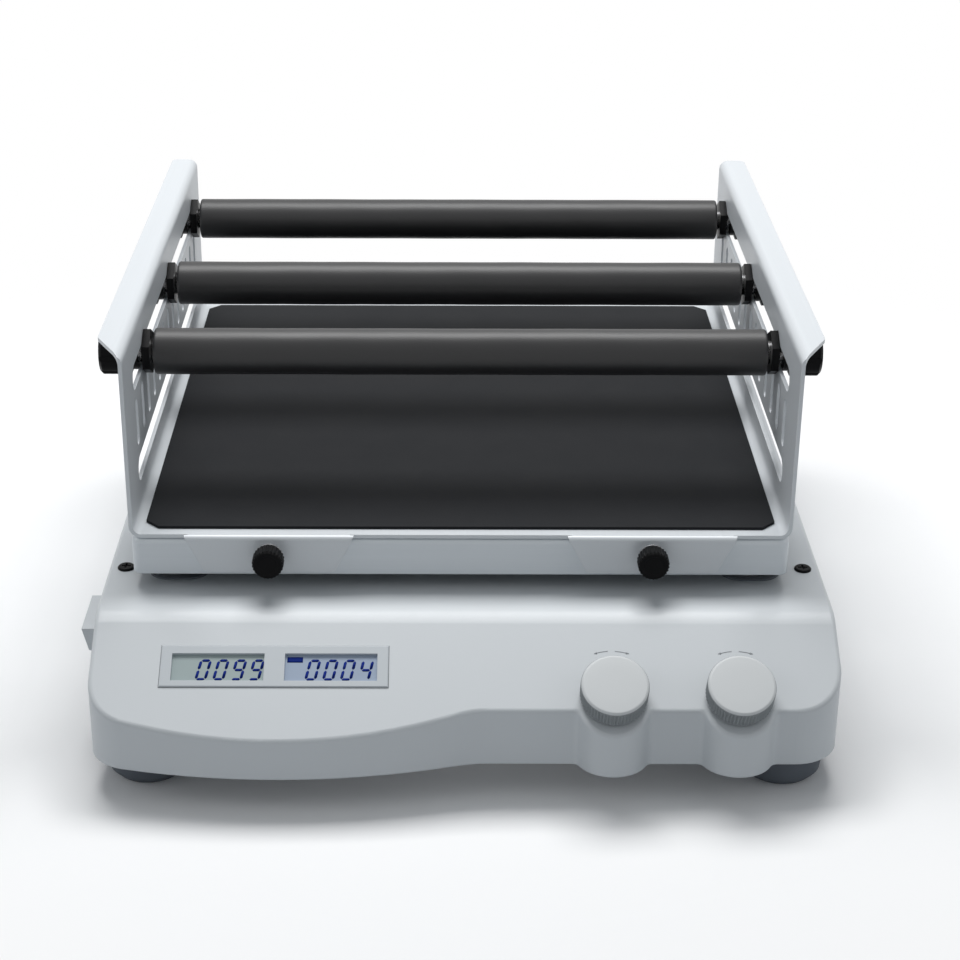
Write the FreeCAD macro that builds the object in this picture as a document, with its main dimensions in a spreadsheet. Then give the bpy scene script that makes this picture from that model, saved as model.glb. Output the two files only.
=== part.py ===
"""Reciprocating bench shaker with a clamping tray, built as separate named pieces.

Millimetres, +Z up, +X to the right and +Y towards the back. The origin is on the bench
under the middle of the machine. Every driving size is a named cell of the sheet.
"""
import FreeCAD, Part
import math
import os
import re
import Sketcher

DOC = FreeCAD.newDocument("ReciprocatingShaker")
SHEET = DOC.addObject("Spreadsheet::Sheet", "Dims")
BODIES = []
VECTOR = FreeCAD.Vector

# Driving sizes, one named cell each
SIZES = {
    # Housing
    "base_margin": 18.0,
    "base_shift": 2.3,
    "base_front": 210.5,
    "back_margin": 3.5,
    "base_bottom": 18.0,
    "deck_clearance": 6.0,
    "housing_wall": 3.0,
    "bulge_depth": 14.5,
    "bulge_radius": 310.0,
    "bulge_inset": 91.7,
    "left_corner_radius": 22.0,
    "right_corner_radius": 23.0,
    "back_corner_radius": 20.0,
    "step_blend_radius": 60.0,
    "boss_radius": 18.3,
    "boss_blend_radius": 4.0,
    "panel_reach": 62.0,
    "bend_radius": 25.0,
    "panel_slope": 30.5,
    "rim_radius": 2.4,
    "hood_setback": 21.1,
    "hood_length": 35.0,
    "hood_rise": 27.5,
    "hood_reach": 8.3,
    "hood_lip_reach": 5.3,
    "hood_lip_drop": 12.0,
    "hood_drop": 14.0,
    "fit_clearance": 0.2,
    "moving_clearance": 0.3,
    "shaft_clearance": 0.05,
    # Base plate, feet and screws
    "plate_bottom": 20.0,
    "plate_thick": 4.0,
    "plate_gap": 0.5,
    "foot_side_inset": 26.0,
    "foot_front_inset": 41.5,
    "foot_back_inset": 40.0,
    "foot_radius": 21.0,
    "foot_sole_radius": 17.0,
    "foot_stem_radius": 15.0,
    "foot_screw_radius": 2.5,
    "foot_screw_head": 5.0,
    "foot_recess": 10.5,
    "cover_screw_inset": 9.0,
    "cover_screw_setback": 45.4,
    "cover_screw_back_inset": 29.5,
    "cover_boss_radius": 8.0,
    "cover_screw_radius": 2.0,
    "cover_screw_head": 3.4,
    "cover_screw_depth": 12.0,
    "cover_screw_head_height": 3.0,
    "cap_stem_radius": 3.7,
    "cap_radius": 4.4,
    "cap_height": 1.2,
    "cap_slot_length": 5.0,
    "cap_slot_width": 1.2,
    "cap_slot_depth": 0.8,
    # Panel, display and knobs
    "knob_row_inset": 6.5,
    "time_knob_inset": 51.3,
    "knob_spacing": 60.5,
    "display_inset": 90.1,
    "display_rise": 16.2,
    "display_width": 111.0,
    "display_height": 23.0,
    "bezel_proud": 0.8,
    "bezel_skirt": 0.8,
    "screen_drop": 0.6,
    "bezel_border": 2.0,
    "screen_width": 45.0,
    "screen_height": 15.0,
    "screen_spacing": 55.0,
    "module_margin": 2.4,
    "board_depth": 12.0,
    "board_thick": 1.6,
    "board_left_inset": 31.0,
    "board_right_inset": 25.0,
    "board_low": 9.0,
    "board_high": 31.0,
    "standoff_radius": 3.0,
    "encoder_side": 14.0,
    "encoder_height": 7.0,
    "bushing_radius": 4.5,
    "bushing_proud": 0.5,
    "rotor_radius": 3.3,
    "rotor_depth": 9.0,
    "shaft_radius": 2.0,
    "shaft_depth": 7.0,
    "knob_radius": 16.5,
    "knob_lift": 1.6,
    "knob_height": 11.0,
    "knob_knurl_height": 7.6,
    "knob_bevel": 1.2,
    "knob_hub_radius": 5.0,
    "knob_skirt_wall": 2.4,
    "knurl_radius": 0.5,
    "knurl_count": 48,
    # Power switch and inlet
    "switch_height": 36.0,
    "switch_width": 26.0,
    "switch_tall": 18.0,
    "switch_flange": 1.5,
    "switch_depth": 18.0,
    "switch_border": 2.4,
    "switch_wall": 1.0,
    "rocker_tilt": 10.0,
    "rocker_pivot": 1.0,
    "inlet_inset": 73.0,
    "inlet_height": 46.0,
    "inlet_width": 32.0,
    "inlet_tall": 26.0,
    "inlet_flange": 1.5,
    "inlet_depth": 24.0,
    "inlet_border": 2.5,
    "socket_depth": 16.0,
    "socket_wall": 1.8,
    "supply_inset": 44.0,
    "supply_width": 120.0,
    "supply_deep": 66.0,
    # Drive
    "table_centre": 40.5,
    "stroke": 10.0,
    "crank_x": 40.0,
    "crank_throw": 5.0,
    "rod_span": 80.0,
    "belt_span": 85.0,
    "bracket_thick": 4.0,
    "bracket_half_width": 33.0,
    "hub_radius": 19.0,
    "bearing_radius": 13.0,
    "bearing_height": 8.0,
    "bearing_gap": 0.4,
    "crank_radius": 5.0,
    "hub_height": 14.0,
    "pulley_gap": 1.0,
    "pulley_height": 6.5,
    "hub_rib_pairs": 3,
    "pulley_hole_count": 6,
    "driven_pulley_radius": 38.0,
    "motor_pulley_radius": 12.0,
    "motor_flange_radius": 14.5,
    "pulley_web": 2.5,
    "pulley_rim": 4.0,
    "belt_width": 5.0,
    "belt_thick": 1.6,
    "motor_radius": 30.0,
    "motor_height": 13.0,
    "motor_shaft_radius": 3.0,
    "weight_inner": 13.0,
    "weight_outer": 32.0,
    "weight_height": 3.4,
    "web_height": 2.5,
    "web_radius": 10.5,
    "pin_radius": 4.0,
    "rod_thick": 5.7,
    "rod_big_eye": 13.0,
    "rod_big_bore": 9.5,
    "rod_small_eye": 10.0,
    "rod_small_bore": 7.0,
    "rod_width": 10.0,
    "open_pivot_gap": 0.5,
    "rail_length": 200.0,
    "rail_spacing": 150.0,
    "rail_width": 12.0,
    "rail_height": 8.0,
    "rail_groove": 1.2,
    "rail_bed_height": 25.0,
    "rail_bed_width": 14.0,
    "block_length": 34.0,
    "block_width": 27.0,
    "block_height": 10.0,
    "block_drop": 5.0,
    "block_spacing": 150.0,
    "frame_inset": 6.0,
    "frame_thick": 5.0,
    "frame_corner": 10.0,
    "frame_bar": 32.0,
    "frame_side_bar": 22.0,
    "post_inset": 19.0,
    "post_radius": 7.0,
    "seal_height": 1.2,
    "seal_rim": 2.5,
    "post_slot_gap": 1.0,
    "table_screw_radius": 3.0,
    "table_screw_head": 6.0,
    "table_screw_reach": 14.0,
    # Shaking platform
    "platform_side": 330.0,
    "platform_gap": 8.0,
    "platform_height": 20.0,
    "platform_sheet": 2.5,
    "platform_corner": 5.0,
    "platform_edge": 3.2,
    "weld_nut_radius": 6.0,
    "weld_nut_length": 5.0,
    # Clamping tray and mat
    "tray_overhang": 0.5,
    "tray_set_in": 0.2,
    "tray_sheet": 2.0,
    "tray_wall": 96.0,
    "tray_bend": 4.0,
    "flange_bend": 3.0,
    "flange_reach": 13.0,
    "flange_corner": 4.0,
    "flange_slant": 24.0,
    "long_slot_inset": 30.0,
    "long_slot_height": 13.0,
    "rod_drop": 26.0,
    "lower_slot_rise": 20.0,
    "short_slot_count": 13,
    "short_slot_pitch": 21.4,
    "short_slot_width": 8.0,
    "short_slot_low_gap": 6.5,
    "short_slot_high_gap": 5.0,
    "tab_spacing": 191.6,
    "tab_top_width": 85.0,
    "tab_bottom_width": 65.0,
    "tab_drop": 19.8,
    "tab_corner": 3.0,
    "tab_gap": 0.3,
    "tab_bend": 2.2,
    "mat_inset": 6.5,
    "mat_thick": 1.5,
    "mat_chamfer": 7.0,
    # Thumb screws
    "thumb_rise": 11.5,
    "thumb_radius": 2.5,
    "thumb_reach": 15.0,
    "thumb_washer_radius": 7.0,
    "thumb_washer_thick": 0.8,
    "thumb_head_radius": 7.9,
    "thumb_head_length": 8.5,
    "thumb_neck_radius": 5.5,
    "thumb_neck_length": 1.2,
    "thumb_flute_radius": 1.1,
    "thumb_flute_count": 12,
    # Holding rods
    "stud_radius": 6.0,
    "stud_overhang": 13.0,
    "sleeve_radius": 12.0,
    "sleeve_inset": 7.5,
    "collar_across": 21.0,
    "collar_thick": 3.9,
    "clamp_radius": 12.0,
    "clamp_length": 16.5,
    "clamp_neck_radius": 9.5,
    "clamp_flute_radius": 2.4,
    "clamp_flute_count": 8,
    "clamp_overhang": 20.5,
    "clamp_edge": 1.5,
    "front_rod_inset": 41.5,
    "middle_rod": 10.0,
    "rear_rod_inset": 9.0,
}

# Sizes worked out from the driving ones, by name
DERIVED = {
    # Across and along the machine: the base follows the platform that it carries
    "base_width": "(platform_side + 2 * base_margin)",
    "base_back": "(table_centre + platform_side / 2 + back_margin)",
    "front_straight": "(base_front - bulge_depth)",
    "bulge_centre": "(base_width / 2 - bulge_inset)",
    "bend_line": "(base_front - panel_reach)",
    "hood_centre": "(bend_line - hood_setback)",
    "foot_spread_x": "(base_width - 2 * foot_side_inset)",
    "foot_front": "(base_front - foot_front_inset)",
    "foot_spread_y": "(foot_front + base_back - foot_back_inset)",
    "cover_screw_spread_x": "(base_width - 2 * cover_screw_inset)",
    "cover_screw_front": "(bend_line - cover_screw_setback)",
    "cover_screw_spread_y": "(cover_screw_front + base_back - cover_screw_back_inset)",
    "knob_row": "(front_straight - knob_row_inset)",
    "time_knob_x": "(base_width / 2 - time_knob_inset)",
    "speed_knob_x": "(time_knob_x - knob_spacing)",
    "display_x": "(base_width / 2 - display_inset)",
    "board_left": "(base_width / 2 - board_left_inset)",
    "board_right": "(base_width / 2 - board_right_inset)",
    "inlet_x": "(base_width / 2 - inlet_inset)",
    "supply_y": "(base_back - supply_inset)",
    "frame_half": "(platform_side / 2 - frame_inset)",
    "post_spread": "(platform_side - 2 * post_inset)",
    "tray_width": "(platform_side + 2 * tray_overhang)",
    "tray_depth": "(platform_side - 2 * tray_set_in)",
    "long_slot_length": "(platform_side - 2 * long_slot_inset)",
    "mat_side": "(platform_side - 2 * mat_inset)",
    "stud_half": "(platform_side / 2 + stud_overhang)",
    "sleeve_half": "(platform_side / 2 - sleeve_inset)",
    "clamp_end": "(platform_side / 2 + clamp_overhang)",
    "front_rod": "(front_rod_inset - long_slot_length / 2)",
    "rear_rod": "(long_slot_length / 2 - rear_rod_inset)",
    # Up the machine: each level stands on the one below
    "hub_top": "(plate_bottom + plate_thick + bracket_thick + hub_height)",
    "pulley_bottom": "(hub_top + pulley_gap)",
    "pulley_top": "(pulley_bottom + pulley_height)",
    "rod_bottom": "(pulley_top + web_height + moving_clearance)",
    "rail_bottom": "(plate_bottom + plate_thick + rail_bed_height)",
    "block_bottom": "(rail_bottom + rail_height - block_drop)",
    "frame_top": "(block_bottom + block_height + frame_thick)",
    "deck_top": "(frame_top + deck_clearance + housing_wall)",
    "hood_top": "(switch_height + hood_rise)",
    "cover_screw_seat": "(deck_top - cover_screw_depth)",
    "platform_bottom": "(deck_top + platform_gap)",
    "platform_top": "(platform_bottom + platform_height)",
    "thumb_height": "(platform_bottom + thumb_rise)",
    "tray_top": "(platform_top + tray_sheet + tray_wall)",
    "rod_height": "(tray_top - rod_drop)",
    "lower_slot_height": "(platform_top + tray_sheet + lower_slot_rise)",
    "short_slot_bottom": "(lower_slot_height + long_slot_height / 2 + short_slot_low_gap)",
    "short_slot_top": "(rod_height - long_slot_height / 2 - short_slot_high_gap)",
}

# Lengths that several pieces share, worked out from the sheet
PLATE_TOP = "(plate_bottom + plate_thick)"
BRACKET_TOP = "(plate_bottom + plate_thick + bracket_thick)"
DECK_UNDER = "(deck_top - housing_wall)"
PANEL_Z = "(deck_top - (knob_row - bend_line) * tan(panel_slope * 1 deg))"
BULGE_Y = "(bulge_radius - base_front)"
BLOCK_TOP = "(block_bottom + block_height)"
PLATFORM_UNDER = "(platform_top - platform_sheet)"
TRAY_FLOOR = "(platform_top + tray_sheet)"
TAB_BACK = "(platform_side / 2 + tab_gap)"
TAB_FRONT = f"({TAB_BACK} + tray_sheet)"
SLOT_HALF_X = "(post_radius + stroke / 2 + post_slot_gap)"
SLOT_HALF_Y = "(post_radius + post_slot_gap)"
BELT_LOW = "((pulley_bottom + pulley_top - belt_width) / 2)"
ROD_TOP = "(rod_bottom + rod_thick)"
CRANK_TURN = "asin(base_shift / crank_throw)"
PIN_SIDE = "sqrt(crank_throw ^ 2 - base_shift ^ 2)"


def fill_sheet():
    """Write each driving size into its own aliased cell."""
    for row, (alias, size) in enumerate(SIZES.items(), start=1):
        SHEET.set(f"A{row}", str(size))
        SHEET.setAlias(f"A{row}", alias)
    DOC.recompute()


def sized(text):
    """Turn size names in an expression into references to the sheet, working out the derived ones."""
    while any(name in DERIVED for name in re.findall(r"[a-z_]+", text)):
        text = re.sub(r"[a-z_]+", lambda word: DERIVED.get(word[0], word[0]), text)
    return re.sub(r"[a-z_]+", lambda word: "Dims." + word[0] if word[0] in SIZES else word[0], text)


def number(text):
    """The present value of an expression in size names."""
    result = SHEET.evalExpression(sized(text))
    return float(getattr(result, "Value", result))


def bind(thing, slot, text):
    """Tie a property to an expression in size names."""
    thing.setExpression(slot, sized(text))


def ride(label, x="0", y="0", z="0", axis=None, angle="0"):
    """Open a named body that moves with the table; its place comes from the sheet."""
    body = DOC.addObject("PartDesign::Body", label)
    body.Label = label
    if axis is not None:
        body.Placement = FreeCAD.Placement(VECTOR(), FreeCAD.Rotation(axis, 1.0))
        bind(body, "Placement.Rotation.Angle", angle)
    for name, text in zip("xyz", (x, y, z)):
        if text != "0":
            bind(body, f"Placement.Base.{name}", text)
    BODIES.append(body)
    return body


def start(label, x="0", y="0", z="0", axis=None, angle="0"):
    """Open a named body on the base, which at rest stands to one side of the table's middle."""
    return ride(label, f"{x} + base_shift", y, z, axis, angle)


def sketch(body, plane="XY_Plane", offset="0"):
    """Open a sketch on one of the body's own origin planes."""
    support = [feature for feature in body.Origin.OriginFeatures if feature.Role == plane][0]
    drawing = body.newObject("Sketcher::SketchObject", "Sketch")
    drawing.AttachmentSupport = [(support, "")]
    drawing.MapMode = "FlatFace"
    if offset != "0":
        bind(drawing, "AttachmentOffset.Base.z", offset)
    return drawing


def hold(drawing, item, end, x, y):
    """Fix one point of a sketch by two dimensions from the origin."""
    for kind, text in (("DistanceX", x), ("DistanceY", y)):
        index = drawing.addConstraint(Sketcher.Constraint(kind, -1, 1, item, end, number(text)))
        drawing.setExpression(f"Constraints[{index}]", sized(text))


def outline(drawing, corners, arcs=None):
    """Draw a closed outline through its corners.

    arcs maps a side to the point its arc passes through, then what fixes the arc: its Radius, or its centre's
    DistanceX or DistanceY, and the size of it.
    """
    arcs = arcs or {}
    places = [VECTOR(number(x), number(y), 0) for x, y in corners]
    ends = []
    for index, here in enumerate(places):
        there = places[(index + 1) % len(places)]
        if index in arcs:
            through_x, through_y = arcs[index][:2]
            through = VECTOR(number(through_x), number(through_y), 0)
            forward = (through - here).cross(there - here).z > 0
            curve = Part.Arc(here, through, there) if forward else Part.Arc(there, through, here)
            item = drawing.addGeometry(curve, False)
            ends.append((item, 1, 2) if forward else (item, 2, 1))
        else:
            item = drawing.addGeometry(Part.LineSegment(here, there), False)
            ends.append((item, 1, 2))
    for index, (item, _begin, finish) in enumerate(ends):
        following = ends[(index + 1) % len(ends)]
        drawing.addConstraint(Sketcher.Constraint("Coincident", item, finish, following[0], following[1]))
    for (item, begin, _finish), (x, y) in zip(ends, corners):
        hold(drawing, item, begin, x, y)
    for index, (_x, _y, kind, text) in arcs.items():
        item = ends[index][0]
        if kind == "Radius":
            held = drawing.addConstraint(Sketcher.Constraint(kind, item, number(text)))
        else:
            held = drawing.addConstraint(Sketcher.Constraint(kind, -1, 1, item, 3, number(text)))
        drawing.setExpression(f"Constraints[{held}]", sized(text))


def rectangle(drawing, left, right, low, high):
    """Draw a rectangle between four limits."""
    outline(drawing, [(left, low), (right, low), (right, high), (left, high)])


def circle(drawing, x, y, radius):
    """Draw a circle held by its centre and radius."""
    round_shape = Part.Circle(VECTOR(number(x), number(y), 0), VECTOR(0, 0, 1), number(radius))
    item = drawing.addGeometry(round_shape, False)
    hold(drawing, item, 3, x, y)
    index = drawing.addConstraint(Sketcher.Constraint("Radius", item, number(radius)))
    drawing.setExpression(f"Constraints[{index}]", sized(radius))


def slot(drawing, x, y, half_length, radius, upright=False):
    """Draw a round-ended slot about its centre."""
    near = f"(({half_length}) - ({radius}))"
    across, reach = f"({radius})", f"({half_length})"
    if upright:
        corners = [(f"{x} - {across}", f"{y} - {near}"), (f"{x} + {across}", f"{y} - {near}"),
                   (f"{x} + {across}", f"{y} + {near}"), (f"{x} - {across}", f"{y} + {near}")]
        ends = {0: (x, f"{y} - {reach}", "DistanceY", f"{y} - {near}"),
                2: (x, f"{y} + {reach}", "DistanceY", f"{y} + {near}")}
    else:
        corners = [(f"{x} - {near}", f"{y} - {across}"), (f"{x} + {near}", f"{y} - {across}"),
                   (f"{x} + {near}", f"{y} + {across}"), (f"{x} - {near}", f"{y} + {across}")]
        ends = {1: (f"{x} + {reach}", y, "DistanceX", f"{x} + {near}"),
                3: (f"{x} - {reach}", y, "DistanceX", f"{x} - {near}")}
    outline(drawing, corners, ends)


def pad(body, drawing, length, both_ways=False, backwards=False):
    """Extrude a sketch."""
    feature = body.newObject("PartDesign::Pad", "Pad")
    feature.Profile = drawing
    bind(feature, "Length", length)
    feature.SideType = "Symmetric" if both_ways else "One side"
    feature.Reversed = backwards
    return feature


def pocket(body, drawing, length, both_ways=False, backwards=False):
    """Cut a sketch away; plainly, it cuts against the sketch's normal."""
    feature = body.newObject("PartDesign::Pocket", "Pocket")
    feature.Profile = drawing
    bind(feature, "Length", length)
    feature.SideType = "Symmetric" if both_ways else "One side"
    feature.Reversed = backwards
    return feature


def lathe(body, profile, cut=False):
    """Turn a profile of radius and height pairs about the body's Z axis."""
    drawing = sketch(body, "XZ_Plane")
    outline(drawing, profile)
    feature = body.newObject("PartDesign::Groove" if cut else "PartDesign::Revolution", "Turned")
    feature.Profile = drawing
    feature.ReferenceAxis = (drawing, ["V_Axis"])
    feature.Angle = 360.0
    return feature


def block(body, left, right, front, back, low, high):
    """Add a rectangular block between six limits."""
    drawing = sketch(body, offset=low)
    rectangle(drawing, left, right, front, back)
    return pad(body, drawing, f"({high}) - ({low})")


def window(body, left, right, front, back, low, high):
    """Cut a rectangular block away between six limits."""
    drawing = sketch(body, offset=high)
    rectangle(drawing, left, right, front, back)
    return pocket(body, drawing, f"({high}) - ({low})")


def disc(body, radius, low, high, x="0", y="0"):
    """Add an upright cylinder."""
    drawing = sketch(body, offset=low)
    circle(drawing, x, y, radius)
    return pad(body, drawing, f"({high}) - ({low})")


def bore(body, radius, low, high, x="0", y="0"):
    """Cut an upright cylinder away."""
    drawing = sketch(body, offset=high)
    circle(drawing, x, y, radius)
    return pocket(body, drawing, f"({high}) - ({low})")


def edges_where(feature, rule):
    """Names of the edges of a feature that meet a rule."""
    DOC.recompute()
    return [f"Edge{index}" for index, edge in enumerate(feature.Shape.Edges, start=1) if rule(edge)]


def rounded(body, feature, radius, rule):
    """Round the edges that meet a rule."""
    names = edges_where(feature, rule)
    fillet = body.newObject("PartDesign::Fillet", "Fillet")
    fillet.Base = (feature, names)
    bind(fillet, "Radius", radius)
    return fillet


def bevelled(body, feature, size, rule):
    """Bevel the edges that meet a rule."""
    names = edges_where(feature, rule)
    chamfer = body.newObject("PartDesign::Chamfer", "Chamfer")
    chamfer.Base = (feature, names)
    bind(chamfer, "Size", size)
    return chamfer


def upright_at(spots, reach=0.6):
    """A rule for upright edges that stand at one of the given X and Y spots."""
    def rule(edge):
        low, high = edge.BoundBox, edge.BoundBox
        if low.XLength > 0.01 or high.YLength > 0.01:
            return False
        return any(abs(low.XMin - x) < reach and abs(low.YMin - y) < reach for x, y in spots)
    return rule


def along(axis, spots, reach=0.05):
    """A rule for straight edges along X or Y through one of the given spots of the other two axes."""
    def rule(edge):
        box = edge.BoundBox
        if axis == "X":
            size, here = (box.YLength, box.ZLength), (box.YMin, box.ZMin)
        else:
            size, here = (box.XLength, box.ZLength), (box.XMin, box.ZMin)
        if max(size) > 0.01:
            return False
        return any(abs(here[0] - a) < reach and abs(here[1] - b) < reach for a, b in spots)
    return rule


def at_height(height, reach=0.01):
    """A rule for edges that lie flat at one height."""
    return lambda edge: abs(edge.BoundBox.ZMin - height) < reach and edge.BoundBox.ZLength < reach


def row(body, features, spacing_x="0", spacing_y="0", count_x=2, count_y=2):
    """Repeat features in a row along X, or a grid along X and Y."""
    pattern = body.newObject("PartDesign::LinearPattern", "Grid")
    pattern.Originals = features
    axes = {feature.Role: feature for feature in body.Origin.OriginFeatures}
    directions = []
    if spacing_x != "0":
        directions.append(("X_Axis", spacing_x, count_x))
    if spacing_y != "0":
        directions.append(("Y_Axis", spacing_y, count_y))
    for suffix, (axis, spacing, count) in zip(("", "2"), directions):
        setattr(pattern, "Direction" + suffix, (axes[axis], [""]))
        bind(pattern, "Length" + suffix, spacing)
        setattr(pattern, "Occurrences" + suffix, count)
    body.Tip = pattern
    return pattern


def ring(body, features, count):
    """Repeat features round the body's Z axis; the count is a sheet name."""
    pattern = body.newObject("PartDesign::PolarPattern", "Ring")
    pattern.Originals = features
    axes = {feature.Role: feature for feature in body.Origin.OriginFeatures}
    pattern.Axis = (axes["Z_Axis"], [""])
    pattern.Angle = 360.0
    bind(pattern, "Occurrences", count)
    body.Tip = pattern
    return pattern


def on_panel(label, x, rise="0"):
    """A body in the panel's own axes: X across, Y up the slope, Z out of the panel."""
    y = f"-knob_row + ({rise}) * cos(panel_slope * 1 deg)"
    z = f"{PANEL_Z} + ({rise}) * sin(panel_slope * 1 deg)"
    return start(label, x, y, z, VECTOR(1, 0, 0), "panel_slope")


def panel_sketch(body, x="0", rise="0"):
    """A sketch of an upright body that lies in the outer face of the sloped panel."""
    drawing = sketch(body)
    drawing.AttachmentOffset = FreeCAD.Placement(VECTOR(), FreeCAD.Rotation(VECTOR(1, 0, 0), 1.0))
    bind(drawing, "AttachmentOffset.Rotation.Angle", "panel_slope")
    bind(drawing, "AttachmentOffset.Base.x", x)
    bind(drawing, "AttachmentOffset.Base.y", f"-knob_row + ({rise}) * cos(panel_slope * 1 deg)")
    bind(drawing, "AttachmentOffset.Base.z", f"{PANEL_Z} + ({rise}) * sin(panel_slope * 1 deg)")
    return drawing


def plan_outline(drawing, inset="0"):
    """The machine's plan outline: straight sides, a broad bulge at the front's left, then a step back."""
    side = f"(base_width / 2 - ({inset}))"
    straight = f"(front_straight - ({inset}))"
    radius = f"(bulge_radius - ({inset}))"
    step = f"-bulge_centre + sqrt({radius} ^ 2 - ({BULGE_Y} + {straight}) ^ 2)"
    shoulder = f"{BULGE_Y} - sqrt({radius} ^ 2 - ({side} - bulge_centre) ^ 2)"
    corners = [(f"-{side}", f"base_back - ({inset})"), (f"-{side}", shoulder), (step, f"-{straight}"),
               (side, f"-{straight}"), (side, f"base_back - ({inset})")]
    outline(drawing, corners, {1: ("-bulge_centre", f"{BULGE_Y} - {radius}", "Radius", radius)})
    return [(number(x), number(y)) for x, y in corners]


def base_housing():
    """The painted housing: a shell with a flat deck, a sloped panel, a curved apron and two knob bosses."""
    body = start("base_housing")
    drawing = sketch(body, offset="base_bottom")
    corners = plan_outline(drawing)
    pad(body, drawing, "deck_top - base_bottom")
    drawing = sketch(body, offset="base_bottom")
    for knob_x in ("speed_knob_x", "time_knob_x"):
        circle(drawing, knob_x, "-knob_row", "boss_radius")
    solid = pad(body, drawing, "deck_top - base_bottom")
    reach = number("sqrt(boss_radius ^ 2 - (front_straight - knob_row) ^ 2)")
    front = -number("front_straight")
    knobs = (number("speed_knob_x"), number("time_knob_x"))
    seams = [(knob + side * reach, front) for knob in knobs for side in (-1, 1)]
    solid = rounded(body, solid, "boss_blend_radius", upright_at(seams))
    solid = rounded(body, solid, "step_blend_radius", upright_at([corners[2]]))
    solid = rounded(body, solid, "left_corner_radius", upright_at([corners[1]]))
    solid = rounded(body, solid, "right_corner_radius", upright_at([corners[3]]))
    solid = rounded(body, solid, "back_corner_radius", upright_at([corners[0], corners[4]]))
    drawing = sketch(body, "YZ_Plane")
    foot = "(deck_top - (base_front - bend_line) * tan(panel_slope * 1 deg) * 1.2)"
    outline(drawing, [("-bend_line", "deck_top"), ("-bend_line - (base_front - bend_line) * 1.2", foot),
                      ("-bend_line - (base_front - bend_line) * 1.2", "deck_top")])
    solid = pocket(body, drawing, "base_width * 1.1", both_ways=True)
    bend = (-number("bend_line"), number("deck_top"))
    solid = rounded(body, solid, "bend_radius", along("X", [bend]))
    DOC.recompute()
    open_face = min(range(len(solid.Shape.Faces)), key=lambda index: solid.Shape.Faces[index].CenterOfMass.z)
    shell = body.newObject("PartDesign::Thickness", "Shell")
    shell.Base = (solid, [f"Face{open_face + 1}"])
    bind(shell, "Value", "housing_wall")
    shell.Reversed = True
    solid = rounded(body, shell, "rim_radius", on_rim(number("bend_line"), number("deck_top")))
    drawing = sketch(body, "XZ_Plane", "hood_centre")
    outline(drawing, [("-base_width / 2", "hood_top"), ("-base_width / 2 - hood_reach", "hood_top"),
                      ("-base_width / 2 - hood_lip_reach", "hood_top - hood_lip_drop"),
                      ("-base_width / 2", "hood_top - hood_drop")])
    pad(body, drawing, "hood_length", both_ways=True)
    housing_bosses(body)
    housing_openings(body)


def on_rim(bend_line, deck_top):
    """A rule for the outer top edges of the housing, where deck and panel meet the walls."""
    slope = math.tan(math.radians(SIZES["panel_slope"]))
    sink = SIZES["bend_radius"] * (1 / math.cos(math.radians(SIZES["panel_slope"] / 2)) - 1)
    half_width, straight = number("base_width / 2"), number("front_straight")

    def rule(edge):
        for share in (0.0, 0.5, 1.0):
            point = edge.valueAt(edge.FirstParameter + share * (edge.LastParameter - edge.FirstParameter))
            surface = deck_top - max(0.0, -point.y - bend_line) * slope
            if not -sink - 0.1 < point.z - surface < 0.1:
                return False
        box = edge.BoundBox
        return not (box.XLength > half_width and box.YMax < 0 and box.YMin > 1 - straight)

    return rule


def housing_bosses(body):
    """Four screw bosses that reach down to the base plate, and four standoffs under the panel."""
    drawing = sketch(body, offset=DECK_UNDER)
    for side in ("-", ""):
        for y in ("-cover_screw_front", "cover_screw_spread_y - cover_screw_front"):
            circle(drawing, f"{side}cover_screw_spread_x / 2", y, "cover_boss_radius")
    pad(body, drawing, f"{DECK_UNDER} - {PLATE_TOP}", backwards=True)
    drawing = panel_sketch(body)
    bind(drawing, "AttachmentOffset.Base.z", f"{PANEL_Z} - housing_wall / 2 * cos(panel_slope * 1 deg)")
    bind(drawing, "AttachmentOffset.Base.y", "-knob_row + housing_wall / 2 * sin(panel_slope * 1 deg)")
    for x, y in (("-board_left + 6", "standoff_radius"), ("0", "standoff_radius - 4"),
                 ("0", "board_high - 5"), ("board_right - 48", "board_high - 5")):
        circle(drawing, x, y, "standoff_radius")
    pad(body, drawing, "board_depth - housing_wall / 2", backwards=True)


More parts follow.
